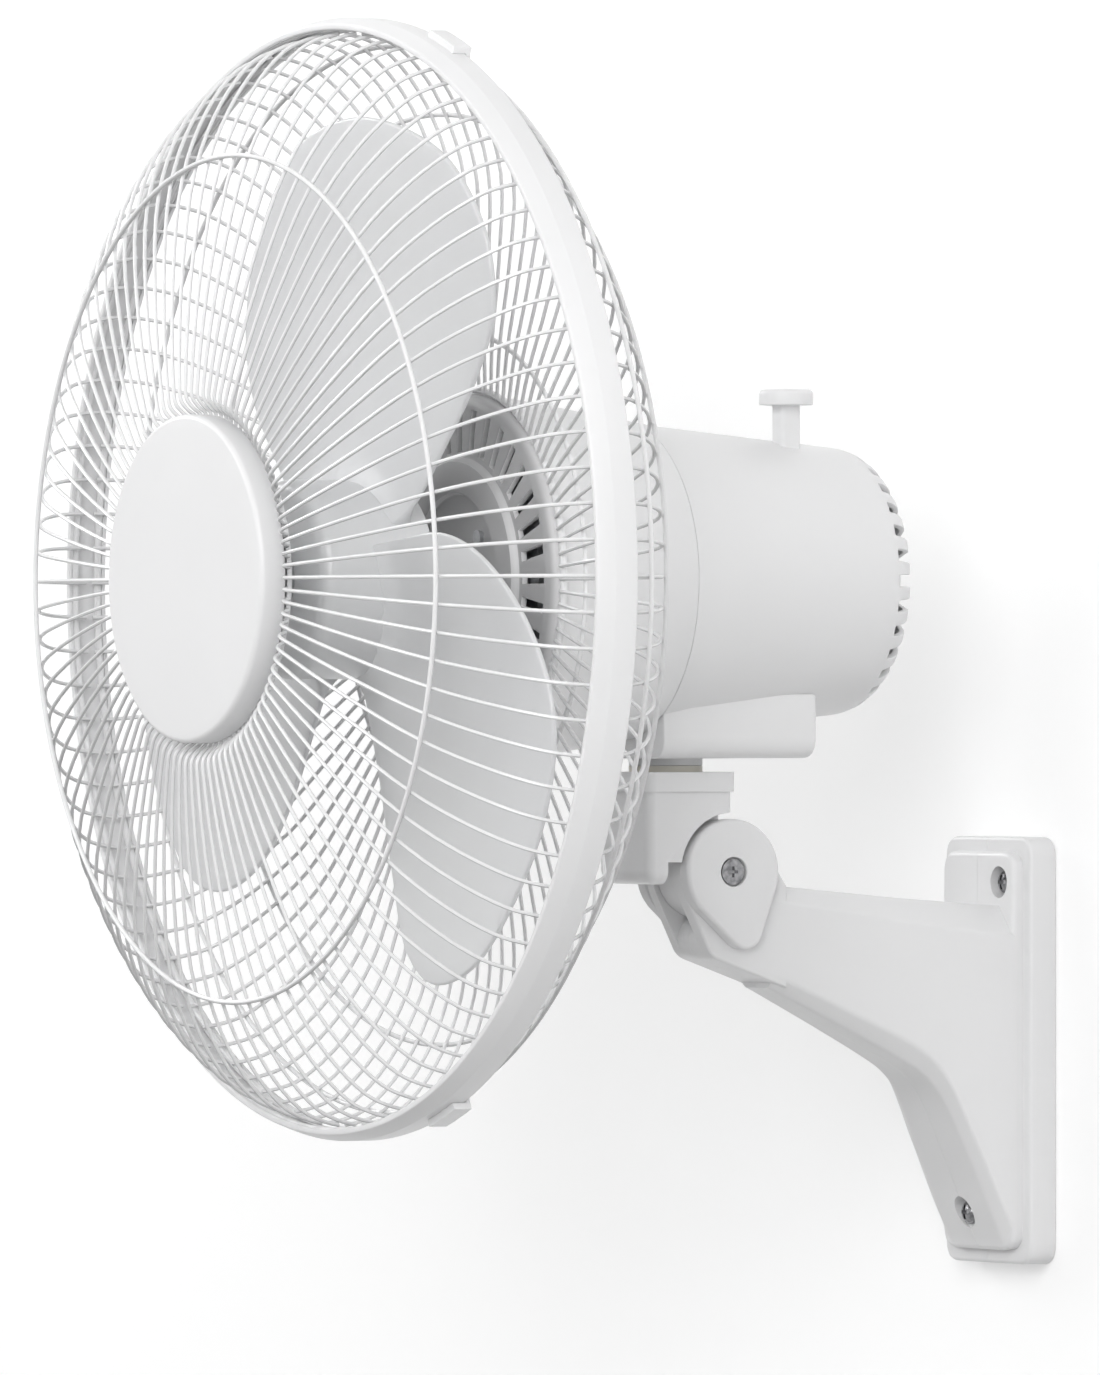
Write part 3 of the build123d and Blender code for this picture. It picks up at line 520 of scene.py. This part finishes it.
def badgeProfile():
    radius, face, back, wall = badge["radius"], badge["face"], badge["back"], badge["wall"]
    edge, crown, soft, steps = badge["edge"], badge["crown"], badge["backEdge"], badge["crownSteps"]
    crownRadius, inner = radius - edge, radius - wall
    across, deep = badge["insideEdge"]
    top = []
    for i in range(steps + 1):
        top.append((crownRadius * i / steps, face - crown * (1 - (i / steps) ** badge["crownPower"])))
    side = arcPoints((crownRadius, face + edge), edge, -math.pi / 2, 0, badge["edgeSteps"])
    return top + side[1:] + [
        (radius, back - soft), (radius - soft, back), (inner + soft, back), (inner, back - soft),
        (inner, face + deep), (inner - across, face + wall),
        (0, face + wall - crown + badge["insideCrown"]),
    ]


badgeMesh = lathe(badgeProfile(), badge["segments"], closed=False)
piece("guardBadge", *badgeMesh, "head", "white_plastic", ["guard_badge"], smoothAngle=50)
print("guard made")

# the outline is x and z of the blade that points up
fan = {
    "count": 3, "hub": 40.0, "front": -29.0, "rear": 21.0, "wall": 2.2, "edge": 6.0, "edgeSteps": 7,
    "rearEdge": 0.5, "step": 1.0, "boss": 10.0, "bore": 4.0, "overlap": 1.0, "webs": 6, "webTurn": 30,
    "webInner": 9.0, "webHalf": 1.0, "webFront": 3.0, "webRear": 6.0, "webEdge": 0.3, "webEnds": (0.1, 0.4),
    "thick": 2.4, "reach": -4.5, "camber": 7.0, "halfChord": 125.0, "rootPitch": 9.0, "tipPitch": 1.5,
    "tip": 185.0, "fillet": 9.0, "flare": 0.45, "centre": (5.0, 100.0), "rings": 12, "ringSpread": 0.8,
    "outline": [(4, 2), (40, 27), (62, 49), (90, 78), (109, 106), (108, 135), (85, 163), (47, 179),
                (0, 185), (-38, 175), (-60, 149), (-70, 110), (-64, 76), (-44, 44), (-20, 14)],
    "outlineSteps": 9, "rimSteps": 6,
}


def bladeReach(x, z):
    share = (z - fan["hub"]) / (fan["tip"] - fan["hub"])
    pitch = math.radians(fan["rootPitch"] + (fan["tipPitch"] - fan["rootPitch"]) * share)
    along = x / math.cos(pitch)
    bow = fan["camber"] * (1 - (along / fan["halfChord"]) ** 2)
    return fan["reach"] + along * math.sin(pitch) + bow * math.cos(pitch) + fan["thick"] / 2


def bladeFlare(x, z):
    # the blade thickens where it leaves the hub
    clear = max(0.0, math.hypot(x, z) - fan["hub"])
    return max(0.0, 1 - clear / fan["fillet"]) ** 2 * fan["fillet"] * fan["flare"]


def bladeMesh(turn):
    # rings of points grow from the middle of the front face, round the edge, and shrink over the rear face
    loop = smoothPath(flat(fan["outline"]), fan["outlineSteps"], closed=True)
    edge, centre = fan["thick"] / 2, Vector((*fan["centre"], 0))
    inset = offsetLoop(loop, edge)
    layers = []
    shares = [(i / fan["rings"]) ** fan["ringSpread"] for i in range(1, fan["rings"] + 1)]
    for share in shares:
        layers.append(([centre + (p - centre) * share for p in inset], -edge))
    for k in range(1, fan["rimSteps"]):
        t = math.pi * k / fan["rimSteps"]
        layers.append((offsetLoop(loop, edge * (1 - math.sin(t))), -edge * math.cos(t)))
    for share in reversed(shares):
        layers.append(([centre + (p - centre) * share for p in inset], edge))
    c, s = math.cos(turn), math.sin(turn)

    def put(p, lift):
        flare = bladeFlare(p.x, p.y) * lift / edge
        return headPlace(p.x * c - p.y * s, bladeReach(p.x, p.y) + lift + flare, p.x * s + p.y * c)

    verts = [put(centre, -edge)]
    verts += [put(p, lift) for points, lift in layers for p in points]
    verts.append(put(centre, edge))
    count, faces = len(loop), []
    for k in range(count):
        n = (k + 1) % count
        faces.append([0, 1 + n, 1 + k])
        for row in range(len(layers) - 1):
            base = 1 + row * count
            faces.append([base + k, base + n, base + count + n, base + count + k])
        last = 1 + (len(layers) - 1) * count
        faces.append([last + k, last + n, len(verts) - 1])
    return verts, faces


def hubMeshes():
    # the cup, the boss inside it, and the webs between them
    radius, inside, edge, soft = fan["hub"], fan["hub"] - fan["wall"], fan["edge"], fan["rearEdge"]
    front, rear, bore, boss, overlap = fan["front"], fan["rear"], fan["bore"], fan["boss"], fan["overlap"]
    floor, step = front + fan["wall"] + overlap, fan["step"]
    cup = [(0, front), (radius - edge - step, front)]
    cup += arcPoints((radius - edge, front + edge), edge, -math.pi / 2, 0, fan["edgeSteps"])
    cup += [(radius, rear - soft), (radius - soft, rear), (inside + soft, rear), (inside, rear - soft),
            (inside, front + edge + step), (inside - edge, floor), (0, floor)]
    core = roundedPath(rectangle((bore, boss), (front + overlap, rear)), soft)
    made = [lathe(cup, segments=96, closed=False), lathe(core, segments=48)]
    web = rectangle((fan["webInner"], inside + overlap), (-fan["webHalf"], fan["webHalf"]))
    web = flat(roundedPath(web, fan["webEdge"], steps=2))
    for i in range(fan["webs"]):
        turn = math.radians(fan["webTurn"] + 360 * i / fan["webs"])
        c, s = math.cos(turn), math.sin(turn)
        made.append(slab(web, front + fan["webFront"], rear - fan["webRear"], *fan["webEnds"],
                         lambda x, y, h: headPlace(x * c - y * s, h, x * s + y * c)))
    return made


blades = [bladeMesh(2 * math.pi * i / fan["count"]) for i in range(fan["count"])]
piece("fanBlades", *join(hubMeshes() + blades), "rotor", "blade_plastic", ["fan_blades"], smoothAngle=40)

nut = {"profile": [(0, -42), (8.5, -41.4), (14, -34), (14, -29), (4.0, -29), (4.0, -37), (0, -37)],
       "edges": [0, 2.5, 2.0, 0.5, 0, 0, 0]}
nutMesh = lathe(roundedPath(nut["profile"], nut["edges"], closed=False), segments=64, closed=False)
piece("bladeNut", *nutMesh, "rotor", "grey_plastic", ["blade_nut"], smoothAngle=40)
print("blades made")

# points are radius and reach behind the rim's middle plane
cover = {
    "profile": [(14, 54), (33.6, 54), (34.4, 53.4), (34.9, 51.2), (36.0, 50.5), (45.6, 50.5), (47.6, 51.0),
                (48.8, 52.6), (49.4, 54), (51.5, 54), (69.0, 54), (70.5, 54.05), (73.2, 55.3), (74.6, 57.4),
                (75, 60), (74.5, 66), (71.4, 87), (68.2, 107), (65, 127.7)],
    "wall": 2.5, "soft": 0.35,
    "slots": 36, "slotWidth": 3.8, "slotRadius": (51.0, 69.5), "slotReach": (53.5, 54.5),
}
housing = {
    "profile": [(65, 128), (63, 140), (60.1, 169), (57.5, 195), (55, 222), (54.7, 225), (54.2, 228),
                (53.2, 230.6), (51.6, 233.4), (49.4, 235.6), (46.6, 237.2), (40.5, 238.8), (34, 240.3),
                (24, 241.9), (12, 242.8), (0, 243)],
    "wall": 2.5, "soft": 0.5,
    "slots": 32, "slotWidth": 4.8, "slotRadius": (33.0, 54.3), "slotReach": (227.5, 245),
    "boxHalf": 36, "boxDrop": 72, "boxTop": -46, "boxFront": 128, "boxRear": 200, "boxCorners": [9, 9, 1, 1],
    "boxEdges": (0.8, 2.2), "padRadius": 15, "padDrop": 75, "padReach": 149.5, "padEdge": 0.6,
}
shell = {"columns": 6, "narrowest": 0.9, "inside": 90.0}


def slottedShell(spec, name, slot, replaced, extra=()):
    # a turned skin with slots left out of it, then thickened
    # each slot and the bar beside it take six columns, the first two of them the slot
    columns, period = shell["columns"], 2 * math.pi / spec["slots"]
    half, (low, high), (front, rear) = spec["slotWidth"] / 2, spec["slotRadius"], spec["slotReach"]
    verts, rows = [], []
    for radius, reach in spec["profile"]:
        start = len(verts)
        if radius < axisGap:
            verts.append(headPlace(0, reach, 0))
            rows.append([start] * spec["slots"] * columns)
            continue
        # the columns turn no wider where the skin runs in to the axis
        a = math.asin(half / max(radius, low * shell["narrowest"]))
        offsets = [-a, 0, a, a + (period - 2 * a) / 4, period / 2, period - a - (period - 2 * a) / 4]
        rows.append(list(range(start, start + columns * spec["slots"])))
        for i in range(spec["slots"]):
            for offset in offsets:
                turn = i * period + offset
                verts.append(headPlace(radius * math.cos(turn), reach, radius * math.sin(turn)))
    faces = []
    for i in range(len(rows) - 1):
        radius, reach = [(p + q) / 2 for p, q in zip(spec["profile"][i], spec["profile"][i + 1])]
        opened = low < radius < high and front < reach < rear
        kept = [k for k in range(len(rows[i])) if not (opened and k % columns < 2)]
        faces += band(rows[i], rows[i + 1], kept)
    made = addMesh(name, verts, faces)
    with OpenMesh(made.data) as work:
        bmesh.ops.recalc_face_normals(work, faces=work.faces)
        middle = headPlace(0, shell["inside"], 0)
        if sum((f.calc_center_median() - middle).dot(f.normal) for f in work.faces) < 0:
            bmesh.ops.reverse_faces(work, faces=work.faces)
    skin = made.modifiers.new("wall", "SOLIDIFY")
    skin.thickness, skin.offset, skin.use_even_offset = spec["wall"] * mm, -1, True
    soften(made, spec["soft"], steps=2, angle=40)
    settle(made)
    with OpenMesh(made.data) as work:
        for points, sides in extra:
            added = [work.verts.new(v) for v in points]
            for side in sides:
                work.faces.new([added[i] for i in side])
    return dress(made, "head", slot, replaced, smoothAngle=38)


def motorBox():
    # the bulge under the barrel
    corners = rectangle((-housing["boxHalf"], housing["boxHalf"]), (-housing["boxDrop"], housing["boxTop"]))
    outline = roundedPath(corners, housing["boxCorners"], steps=8)
    return slab(flat(outline), housing["boxFront"], housing["boxRear"], *housing["boxEdges"],
                lambda x, z, reach: headPlace(x, reach, z))


def neckPad():
    # the round seat of the neck, under the bulge
    corners = rectangle((0, housing["padRadius"]), (past - housing["boxDrop"], -housing["padDrop"]))
    path = roundedPath(corners, [0, 0, housing["padEdge"], 0], closed=False)
    return lathe(path, segments=64, closed=False,
                 place=lambda x, h, y: headPlace(x, housing["padReach"] + y, h))


motorCover = slottedShell(cover, "motorCover", "white_plastic", ["motor_front_cover"])
# the cover takes a material with painted shade on its front face
motorCover.data.materials[0] = coverPaintedShade
slottedShell(housing, "motorHousing", "white_plastic", ["motor_housing"], [motorBox(), neckPad()])
print("motor cover and housing made")

# heights are from the plate's middle, and the arm's reach is negative towards the fan
wallArm = {
    # reach, half width, top, upper edge, lower edge, bottom, half of the top flat, half of the low flat
    "stations": [
        (-122, 15.0, 68.5, 61.8, 32.0, 26.5, 9.0, 9.5), (-90, 18.8, 65.5, 57.4, 17.4, 10.8, 11.2, 12.5),
        (-64, 22.0, 63.0, 53.3, 5.0, -2.6, 13.0, 15.0), (-54, 23.4, 62.2, 51.9, -1.4, -8.4, 14.0, 16.4),
        (-47, 24.5, 61.7, 50.9, -9.0, -15.2, 14.6, 17.4), (-41, 25.4, 61.2, 50.2, -19.5, -25.6, 15.2, 18.6),
        (-35, 26.2, 60.6, 49.4, -33.0, -39.2, 15.6, 19.8), (-29, 27.0, 60.0, 48.5, -45.8, -52.2, 16.0, 20.8),
        (-23, 27.5, 59.7, 47.8, -59.2, -66.6, 16.5, 21.0), (-16, 28.0, 59.5, 47.0, -73.0, -81.6, 17.0, 21.0),
    ],
    "stationSteps": 3, "corners": (1.6, 2.4, 4.5, 4.5), "rearEnd": -10.0,
    "wall": 2.6, "soft": 0.7, "seamGap": 0.1,
    # half width, half height, corner, front face and its edge
    "plate": (34.0, 87.5, 9.0, 12.0, 1.6), "raised": (28.0, 81.5, 9.0, 17.0, 2.2), "raisedRoot": 9.0,
    "backEdge": 0.3, "leastEdge": 0.4,
    # the knuckle and its chin are round, and run back to the arm at the root's reach, bottom and top
    "knuckle": (-145.0, 74.0), "knuckleRadius": 21.0, "chin": (-145.0, 46.5), "chinRadius": 9.0,
    "root": (-116.0, 26.5, 68.0), "fork": 15.0, "forkEdge": 1.3,
    "slot": 8.5, "swing": 20.5, "slotReach": 40.0, "slotBehind": 2.0, "chinCut": 4.0, "chinStep": 0.1,
    # each well's x, z and seat
    "wells": [(17.0, 69.0, 7.0), (0.0, -66.5, 19.0)], "wellRadius": 6.5, "wellReach": 16.0,
    "holeRadius": 2.5, "bossWall": 2.5, "bossSpan": (0.2, 60),
    "seams": [(-100, 45), (-60, 25), (-35, -25), (-10, 40), (-10, -40)],
    "post": 4.5, "postSpan": (-40, 40), "postSkin": 1.1, "screwSeat": 6.0, "screwHead": 3.6,
    # x, reach and height that hold all of the bracket
    "room": ((-60, 60), (-200, 20), (-120, 130)),
}


def turnsBack(a, b, c):
    # true unless the way from a over b to c turns left
    return (b[0] - a[0]) * (c[1] - a[1]) <= (b[1] - a[1]) * (c[0] - a[0])


def hull(points):
    # the outline of a rubber band round the points, counter-clockwise
    points = sorted({(round(p.x, 4), round(p.y, 4)) for p in points})
    sides = []
    for run in (points, points[::-1]):
        side = []
        for p in run:
            while len(side) > 1 and turnsBack(side[-2], side[-1], p):
                side.pop()
            side.append(p)
        sides += side[:-1]
    return flat(sides)


def solid(verts, faces):
    made = addMesh("solid", verts, faces)
    with OpenMesh(made.data) as work:
        bmesh.ops.remove_doubles(work, verts=work.verts, dist=weldGap / 2)
        bmesh.ops.recalc_face_normals(work, faces=work.faces)
    return made


def combine(made, others, operation):
    for other in others:
        cut = made.modifiers.new("cut", "BOOLEAN")
        cut.object, cut.operation, cut.solver = other, operation, "EXACT"
        settle(made)
        bpy.data.objects.remove(other)
    return made


def alongX(loop, low, high, edge=0.0):
    return solid(*slab(loop, low, high, edge, edge, lambda y, z, x: wallPlace(x, y, z)))


def alongY(loop, low, high, backEdge=0.0, frontEdge=0.0):
    # low and high are distances out from the wall
    return solid(*slab(loop, low, high, backEdge, frontEdge, lambda x, z, out: wallPlace(x, -out, z)))


def box(x, y, z):
    return alongX(flat(rectangle(y, z)), *x)


def plateSlab(spec, back, inset):
    half, height, corner, out, edge = spec
    half, height = half - inset, height - inset
    loop = roundedPath(rectangle((-half, half), (-height, height)), corner - inset, steps=8)
    return alongY(flat(loop), back, out - inset, 0.0 if inset else wallArm["backEdge"],
                  max(wallArm["leastEdge"], edge - inset))


def armShell(inset):
    # the arm's last station is carried on into the plate
    rows = smoothPath([Vector(s) for s in wallArm["stations"]], wallArm["stationSteps"])
    rows.append(rows[-1].copy())
    rows[-1][0] = wallArm["rearEnd"] - inset / 2
    rows[0][0] += inset
    a, b, c, d = wallArm["corners"]
    sections = []
    for reach, half, top, upper, lower, bottom, topFlat, lowFlat in rows:
        half, topFlat, lowFlat = half - inset, topFlat - inset / 2, lowFlat - inset / 2
        top, upper, lower, bottom = top - inset, upper - inset / 2, lower + inset / 2, bottom + inset
        loop = [(-lowFlat, bottom), (lowFlat, bottom), (half, lower), (half, upper),
                (topFlat, top), (-topFlat, top), (-half, upper), (-half, lower)]
        sections.append((reach, roundedPath(loop, [d, d, c, b, a, a, b, c], steps=4)))
    verts = [wallPlace(x, reach, z) for reach, loop in sections for x, z in loop]
    count = len(sections[0][1])
    faces = [list(range(count)), list(range((len(sections) - 1) * count, len(sections) * count))[::-1]]
    for i in range(len(sections) - 1):
        for k in range(count):
            n = (k + 1) % count
            faces.append([i * count + n, i * count + k, (i + 1) * count + k, (i + 1) * count + n])
    return solid(verts, faces)


def arm(inset):
    # the outside of plate and arm, or at an inset the hollow inside them
    plate = plateSlab(wallArm["plate"], -past if inset else 0.0, inset)
    raised = plateSlab(wallArm["raised"], wallArm["raisedRoot"] - inset, inset)
    return combine(plate, [raised, armShell(inset)], "UNION")


def fork():
    # two cheeks with room between them for the neck to tilt, and a chin that joins them below
    (y, z), chin, (root, low, high) = wallArm["knuckle"], wallArm["chin"], wallArm["root"]
    half, slot, reach, behind = wallArm["fork"], wallArm["slot"], wallArm["slotReach"], wallArm["slotBehind"]
    knuckle = circle((y, z), wallArm["knuckleRadius"], count=72)
    swing, chinLoop = circle((y, z), wallArm["swing"], count=72), circle(chin, wallArm["chinRadius"])
    outline = hull(knuckle + chinLoop + flat([(root, low), (root, high)]))
    made = alongX(outline, -half, half, wallArm["forkEdge"])
    gaps = [
        alongX(swing, -slot, slot),
        box((-slot, slot), (y - reach, y + wallArm["swing"]), (z, z + reach)),
        box((-slot, slot), (y - reach, y + behind), (chin[1] - wallArm["chinCut"], z + past)),
    ]
    combine(made, gaps, "DIFFERENCE")
    # the chin's middle is a hair smaller than its sides, and sinks into them
    bridgeLoop = circle(chin, wallArm["chinRadius"] - wallArm["chinStep"])
    bridge = alongX(bridgeLoop, -slot - past / 2, slot + past / 2)
    combine(bridge, [alongX(swing, -slot - past, slot + past)], "DIFFERENCE")
    return combine(made, [bridge], "UNION")


def withinSkin(made):
    # keeps what lies inside the arm's skin
    return combine(made, [arm(wallArm["postSkin"])], "INTERSECT")


def wallBracket():
    whole = combine(arm(0), [arm(wallArm["wall"])], "DIFFERENCE")
    combine(whole, [fork()], "UNION")
    for place in wallArm["seams"]:
        post = alongX(circle(place, wallArm["post"], count=24), *wallArm["postSpan"])
        combine(whole, [withinSkin(post)], "UNION")
    for x, z, seat in wallArm["wells"]:
        boss = alongY(circle((x, z), wallArm["wellRadius"] + wallArm["bossWall"]), *wallArm["bossSpan"])
        combine(whole, [withinSkin(boss)], "UNION")
        well = alongY(circle((x, z), wallArm["wellRadius"]), seat, seat + wallArm["wellReach"])
        hole = alongY(circle((x, z), wallArm["holeRadius"], count=24), -past, seat + past)
        combine(whole, [well, hole], "DIFFERENCE")
    return whole


def bracketHalf(whole, side, name, node):
    # the left half has the pockets of the screws that join the two
    made = addObject(name, whole.data.copy())
    seam, ((left, right), along, up) = wallArm["seamGap"], wallArm["room"]
    combine(made, [box((seam, right) if side > 0 else (left, -seam), along, up)], "INTERSECT")
    if side < 0:
        heads = [circle(place, wallArm["screwHead"], count=24) for place in wallArm["seams"]]
        combine(made, [alongX(head, left, -wallArm["screwSeat"]) for head in heads], "DIFFERENCE")
    soften(made, wallArm["soft"], steps=3, angle=32)
    settle(made)
    return dress(made, "bracket", "white_plastic", [node])


bracket = wallBracket()
bracketHalf(bracket, 1, "bracketRight", "bracket_half_right")
bracketHalf(bracket, -1, "bracketLeft", "bracket_half_left")
bpy.data.objects.remove(bracket)
print("bracket made")

# each screw's x and z, and how far its seat and the top of its head are from the wall
wallScrew = {
    "places": [(17.0, 69.0, 7.0, 16.2), (0.0, -66.5, 19.0, 23.4)],
    "recess": (0.75, 3.0), "deep": 1.9,  # half width and half length of its cross, and its depth
    "dome": [(0, 0), (1.6, 0.12), (2.9, 0.55), (3.9, 1.25), (4.6, 2.1), (5.0, 3.2)],
    "thread": [(2.1, -1), (2.25, -1.3), (2.25, -25), (0.3, -30), (0, -30)],
}


def makeScrews():
    meshes, recesses = [], []
    head, shank = wallScrew["dome"][-1][0], wallScrew["thread"][0][0]
    thin, wide = wallScrew["recess"]
    for x, z, seat, top in wallScrew["places"]:
        profile = [(r, drop - top) for r, drop in wallScrew["dome"]] + [(head, -seat), (shank, -seat)]
        profile += [(r, -y) for r, y in wallScrew["thread"]]
        meshes.append(lathe(profile, segments=48, closed=False,
                            place=lambda a, y, b: wallPlace(x + a, y, z + b)))
        for a, b in ((thin, wide), (wide, thin)):
            recesses.append(box((x - a, x + a), (-top - past, wallScrew["deep"] - top), (z - b, z + b)))
    made = combine(solid(*join(meshes)), recesses, "DIFFERENCE")
    made.name = "wallScrews"
    return made


dress(makeScrews(), "bracket", "chrome_steel", ["wall_screws"])

slots = {part["node"]: part["material_slot"] for part in frame["record"]["subparts"]}
homes = {node: body for body, names in frame["record"]["behaviour"]["bodies"].items() for node in names}


def softened(name, node, width, flatWithin=0.6):
    # the node's own shape with its hard edges rounded, once its faces that are nearly level are joined
    made = addObject(name, nodes[node].data.copy())
    with OpenMesh(made.data) as work:
        bmesh.ops.remove_doubles(work, verts=work.verts, dist=weldGap)
        bmesh.ops.dissolve_limit(work, angle_limit=math.radians(flatWithin),
                                 verts=work.verts, edges=work.edges)
    soften(made, width, steps=3, angle=35)
    settle(made)
    return dress(made, homes[node], slots[node], [node])


softened("neckHousing", "neck_housing", 0.7)
softened("tiltCoverRight", "tilt_cover_right", 0.5)
softened("tiltCoverLeft", "tilt_cover_left", 0.5)
softened("oscillationKnob", "oscillation_knob", 0.5)
clips = softened("rimClips", "rim_clips", 0.5)
# the clips grip the rim from behind, so its front band stays clean
clipCut = {"half": 260, "front": 60, "behind": 2.5}
plane, middle, half = ringPlane / mm, axisHeight / mm, clipCut["half"]
cutReach = (plane - clipCut["front"], plane + clipCut["behind"])
combine(clips, [box((-half, half), cutReach, (middle - half, middle + half))], "DIFFERENCE")
print("moulded parts made")

for name, made in nodes.items():
    made.data.materials.clear()
    made.data.materials.append(materials[slots[name]])
print("nodes dressed")

camera = {"azimuth": 60.6, "distance": 6.0, "aim": (0.0, -0.2183, 0.1487), "pixelsPerMetre": 2476.0,
          "pictureHeight": 1375, "sensor": 36, "farthest": 100}


def makeCamera():
    lens = bpy.data.cameras.new("camera")
    eye = addObject("camera", lens)
    turn = math.radians(camera["azimuth"])
    back = Vector((math.sin(turn), -math.cos(turn), 0))
    eye.location = Vector(camera["aim"]) + back * camera["distance"]
    eye.rotation_euler = (math.pi / 2, 0, turn)
    lens.sensor_fit = "VERTICAL"
    lens.sensor_height = camera["sensor"]
    lens.lens = camera["sensor"] * camera["distance"] / (camera["pictureHeight"] / camera["pixelsPerMetre"])
    lens.clip_end = camera["farthest"]
    bpy.context.scene.camera = eye


makeCamera()

# in metres; the hole is the half width and half height of the opening behind the plate
stage = {"floorDrop": 0.9, "size": 9.0, "wallReach": 0.0005, "hole": (0.029, 0.08),
         "wall": (0.90, 0.90, 0.90), "floor": (0.36, 0.36, 0.36), "glow": 0.2, "glowStrength": 1.9}


def stageMaterial(name, colour):
    s = Shader(bpy.data.materials.new(name))
    paint = s.node("ShaderNodeBsdfDiffuse", {}, {"Color": (*colour, 1)})
    glow = s.node("ShaderNodeEmission", {}, {"Color": (1, 1, 1, 1), "Strength": stage["glowStrength"]})
    lit = s.node("ShaderNodeMixShader", {}, {0: s.seenRays() * stage["glow"], 1: paint, 2: glow})
    behind = s.node("ShaderNodeNewGeometry", output="Backfacing")
    clear = s.node("ShaderNodeBsdfTransparent")
    return s.finish(s.node("ShaderNodeMixShader", {}, {0: behind, 1: lit, 2: clear}))


def stageSheet(name, verts, faces):
    made = addMesh(name, verts, faces)
    made.data.materials.append(stageMaterial(name + "Paint", stage[name]))


def makeStage():
    far, drop, reach, (half, height) = stage["size"], -stage["floorDrop"], stage["wallReach"], stage["hole"]
    # the wall is open behind the plate, so the plate's hollow back is not sealed in the dark
    across, up = (-far, -half, half, far), (drop, -height, height, far)
    cells = [(i, j) for j in range(3) for i in range(3) if (i, j) != (1, 1)]
    stageSheet("wall", [(x, reach, z) for z in up for x in across],
               [[4 * j + i, 4 * j + i + 1, 4 * j + i + 5, 4 * j + i + 4] for i, j in cells])
    stageSheet("floor", [(x, y, drop) for x, y in rectangle((-far, far), (-far, reach))], [[0, 1, 2, 3]])


makeStage()

lampAim = (0, -0.25, 0.12)
lights = [
    {"name": "side", "at": (2.5, -2.7, 1.35), "size": 2.0, "power": 81.0},
    {"name": "key", "at": (-1.3, -2.8, 1.6), "size": 1.4, "power": 25.0},
    {"name": "left", "at": (-2.3, -1.0, 1.3), "size": 0.8, "power": 12.0},
]
for lamp in lights:
    data = bpy.data.lights.new(lamp["name"], "AREA")
    data.energy, data.size = lamp["power"], lamp["size"]
    made = addObject(lamp["name"], data)
    made.location = lamp["at"]
    made.rotation_euler = (Vector(lampAim) - made.location).to_track_quat("-Z", "Y").to_euler()

sky = {"level": 0.60, "high": 0.22, "seen": 1.0}


def makeWorld():
    s = Shader(bpy.data.worlds.new("studio"), "ShaderNodeOutputWorld")
    level, high, seen = [s.node("ShaderNodeBackground", {}, {"Color": (1, 1, 1, 1), "Strength": sky[key]})
                         for key in ("level", "high", "seen")]
    # the studio is brightest at eye level and dimmer overhead
    way = s.node("ShaderNodeTexCoord", output="Generated")
    rise = s.node("ShaderNodeSeparateXYZ", {}, {"Vector": way}, "Z")
    studio = s.node("ShaderNodeMixShader", {}, {0: rise, 1: level, 2: high})
    return s.finish(s.node("ShaderNodeMixShader", {}, {0: s.seenRays(), 1: studio, 2: seen}))


bpy.context.scene.world = makeWorld()
bpy.context.scene.view_settings.view_transform = "Standard"
print("stage, lights and camera made")
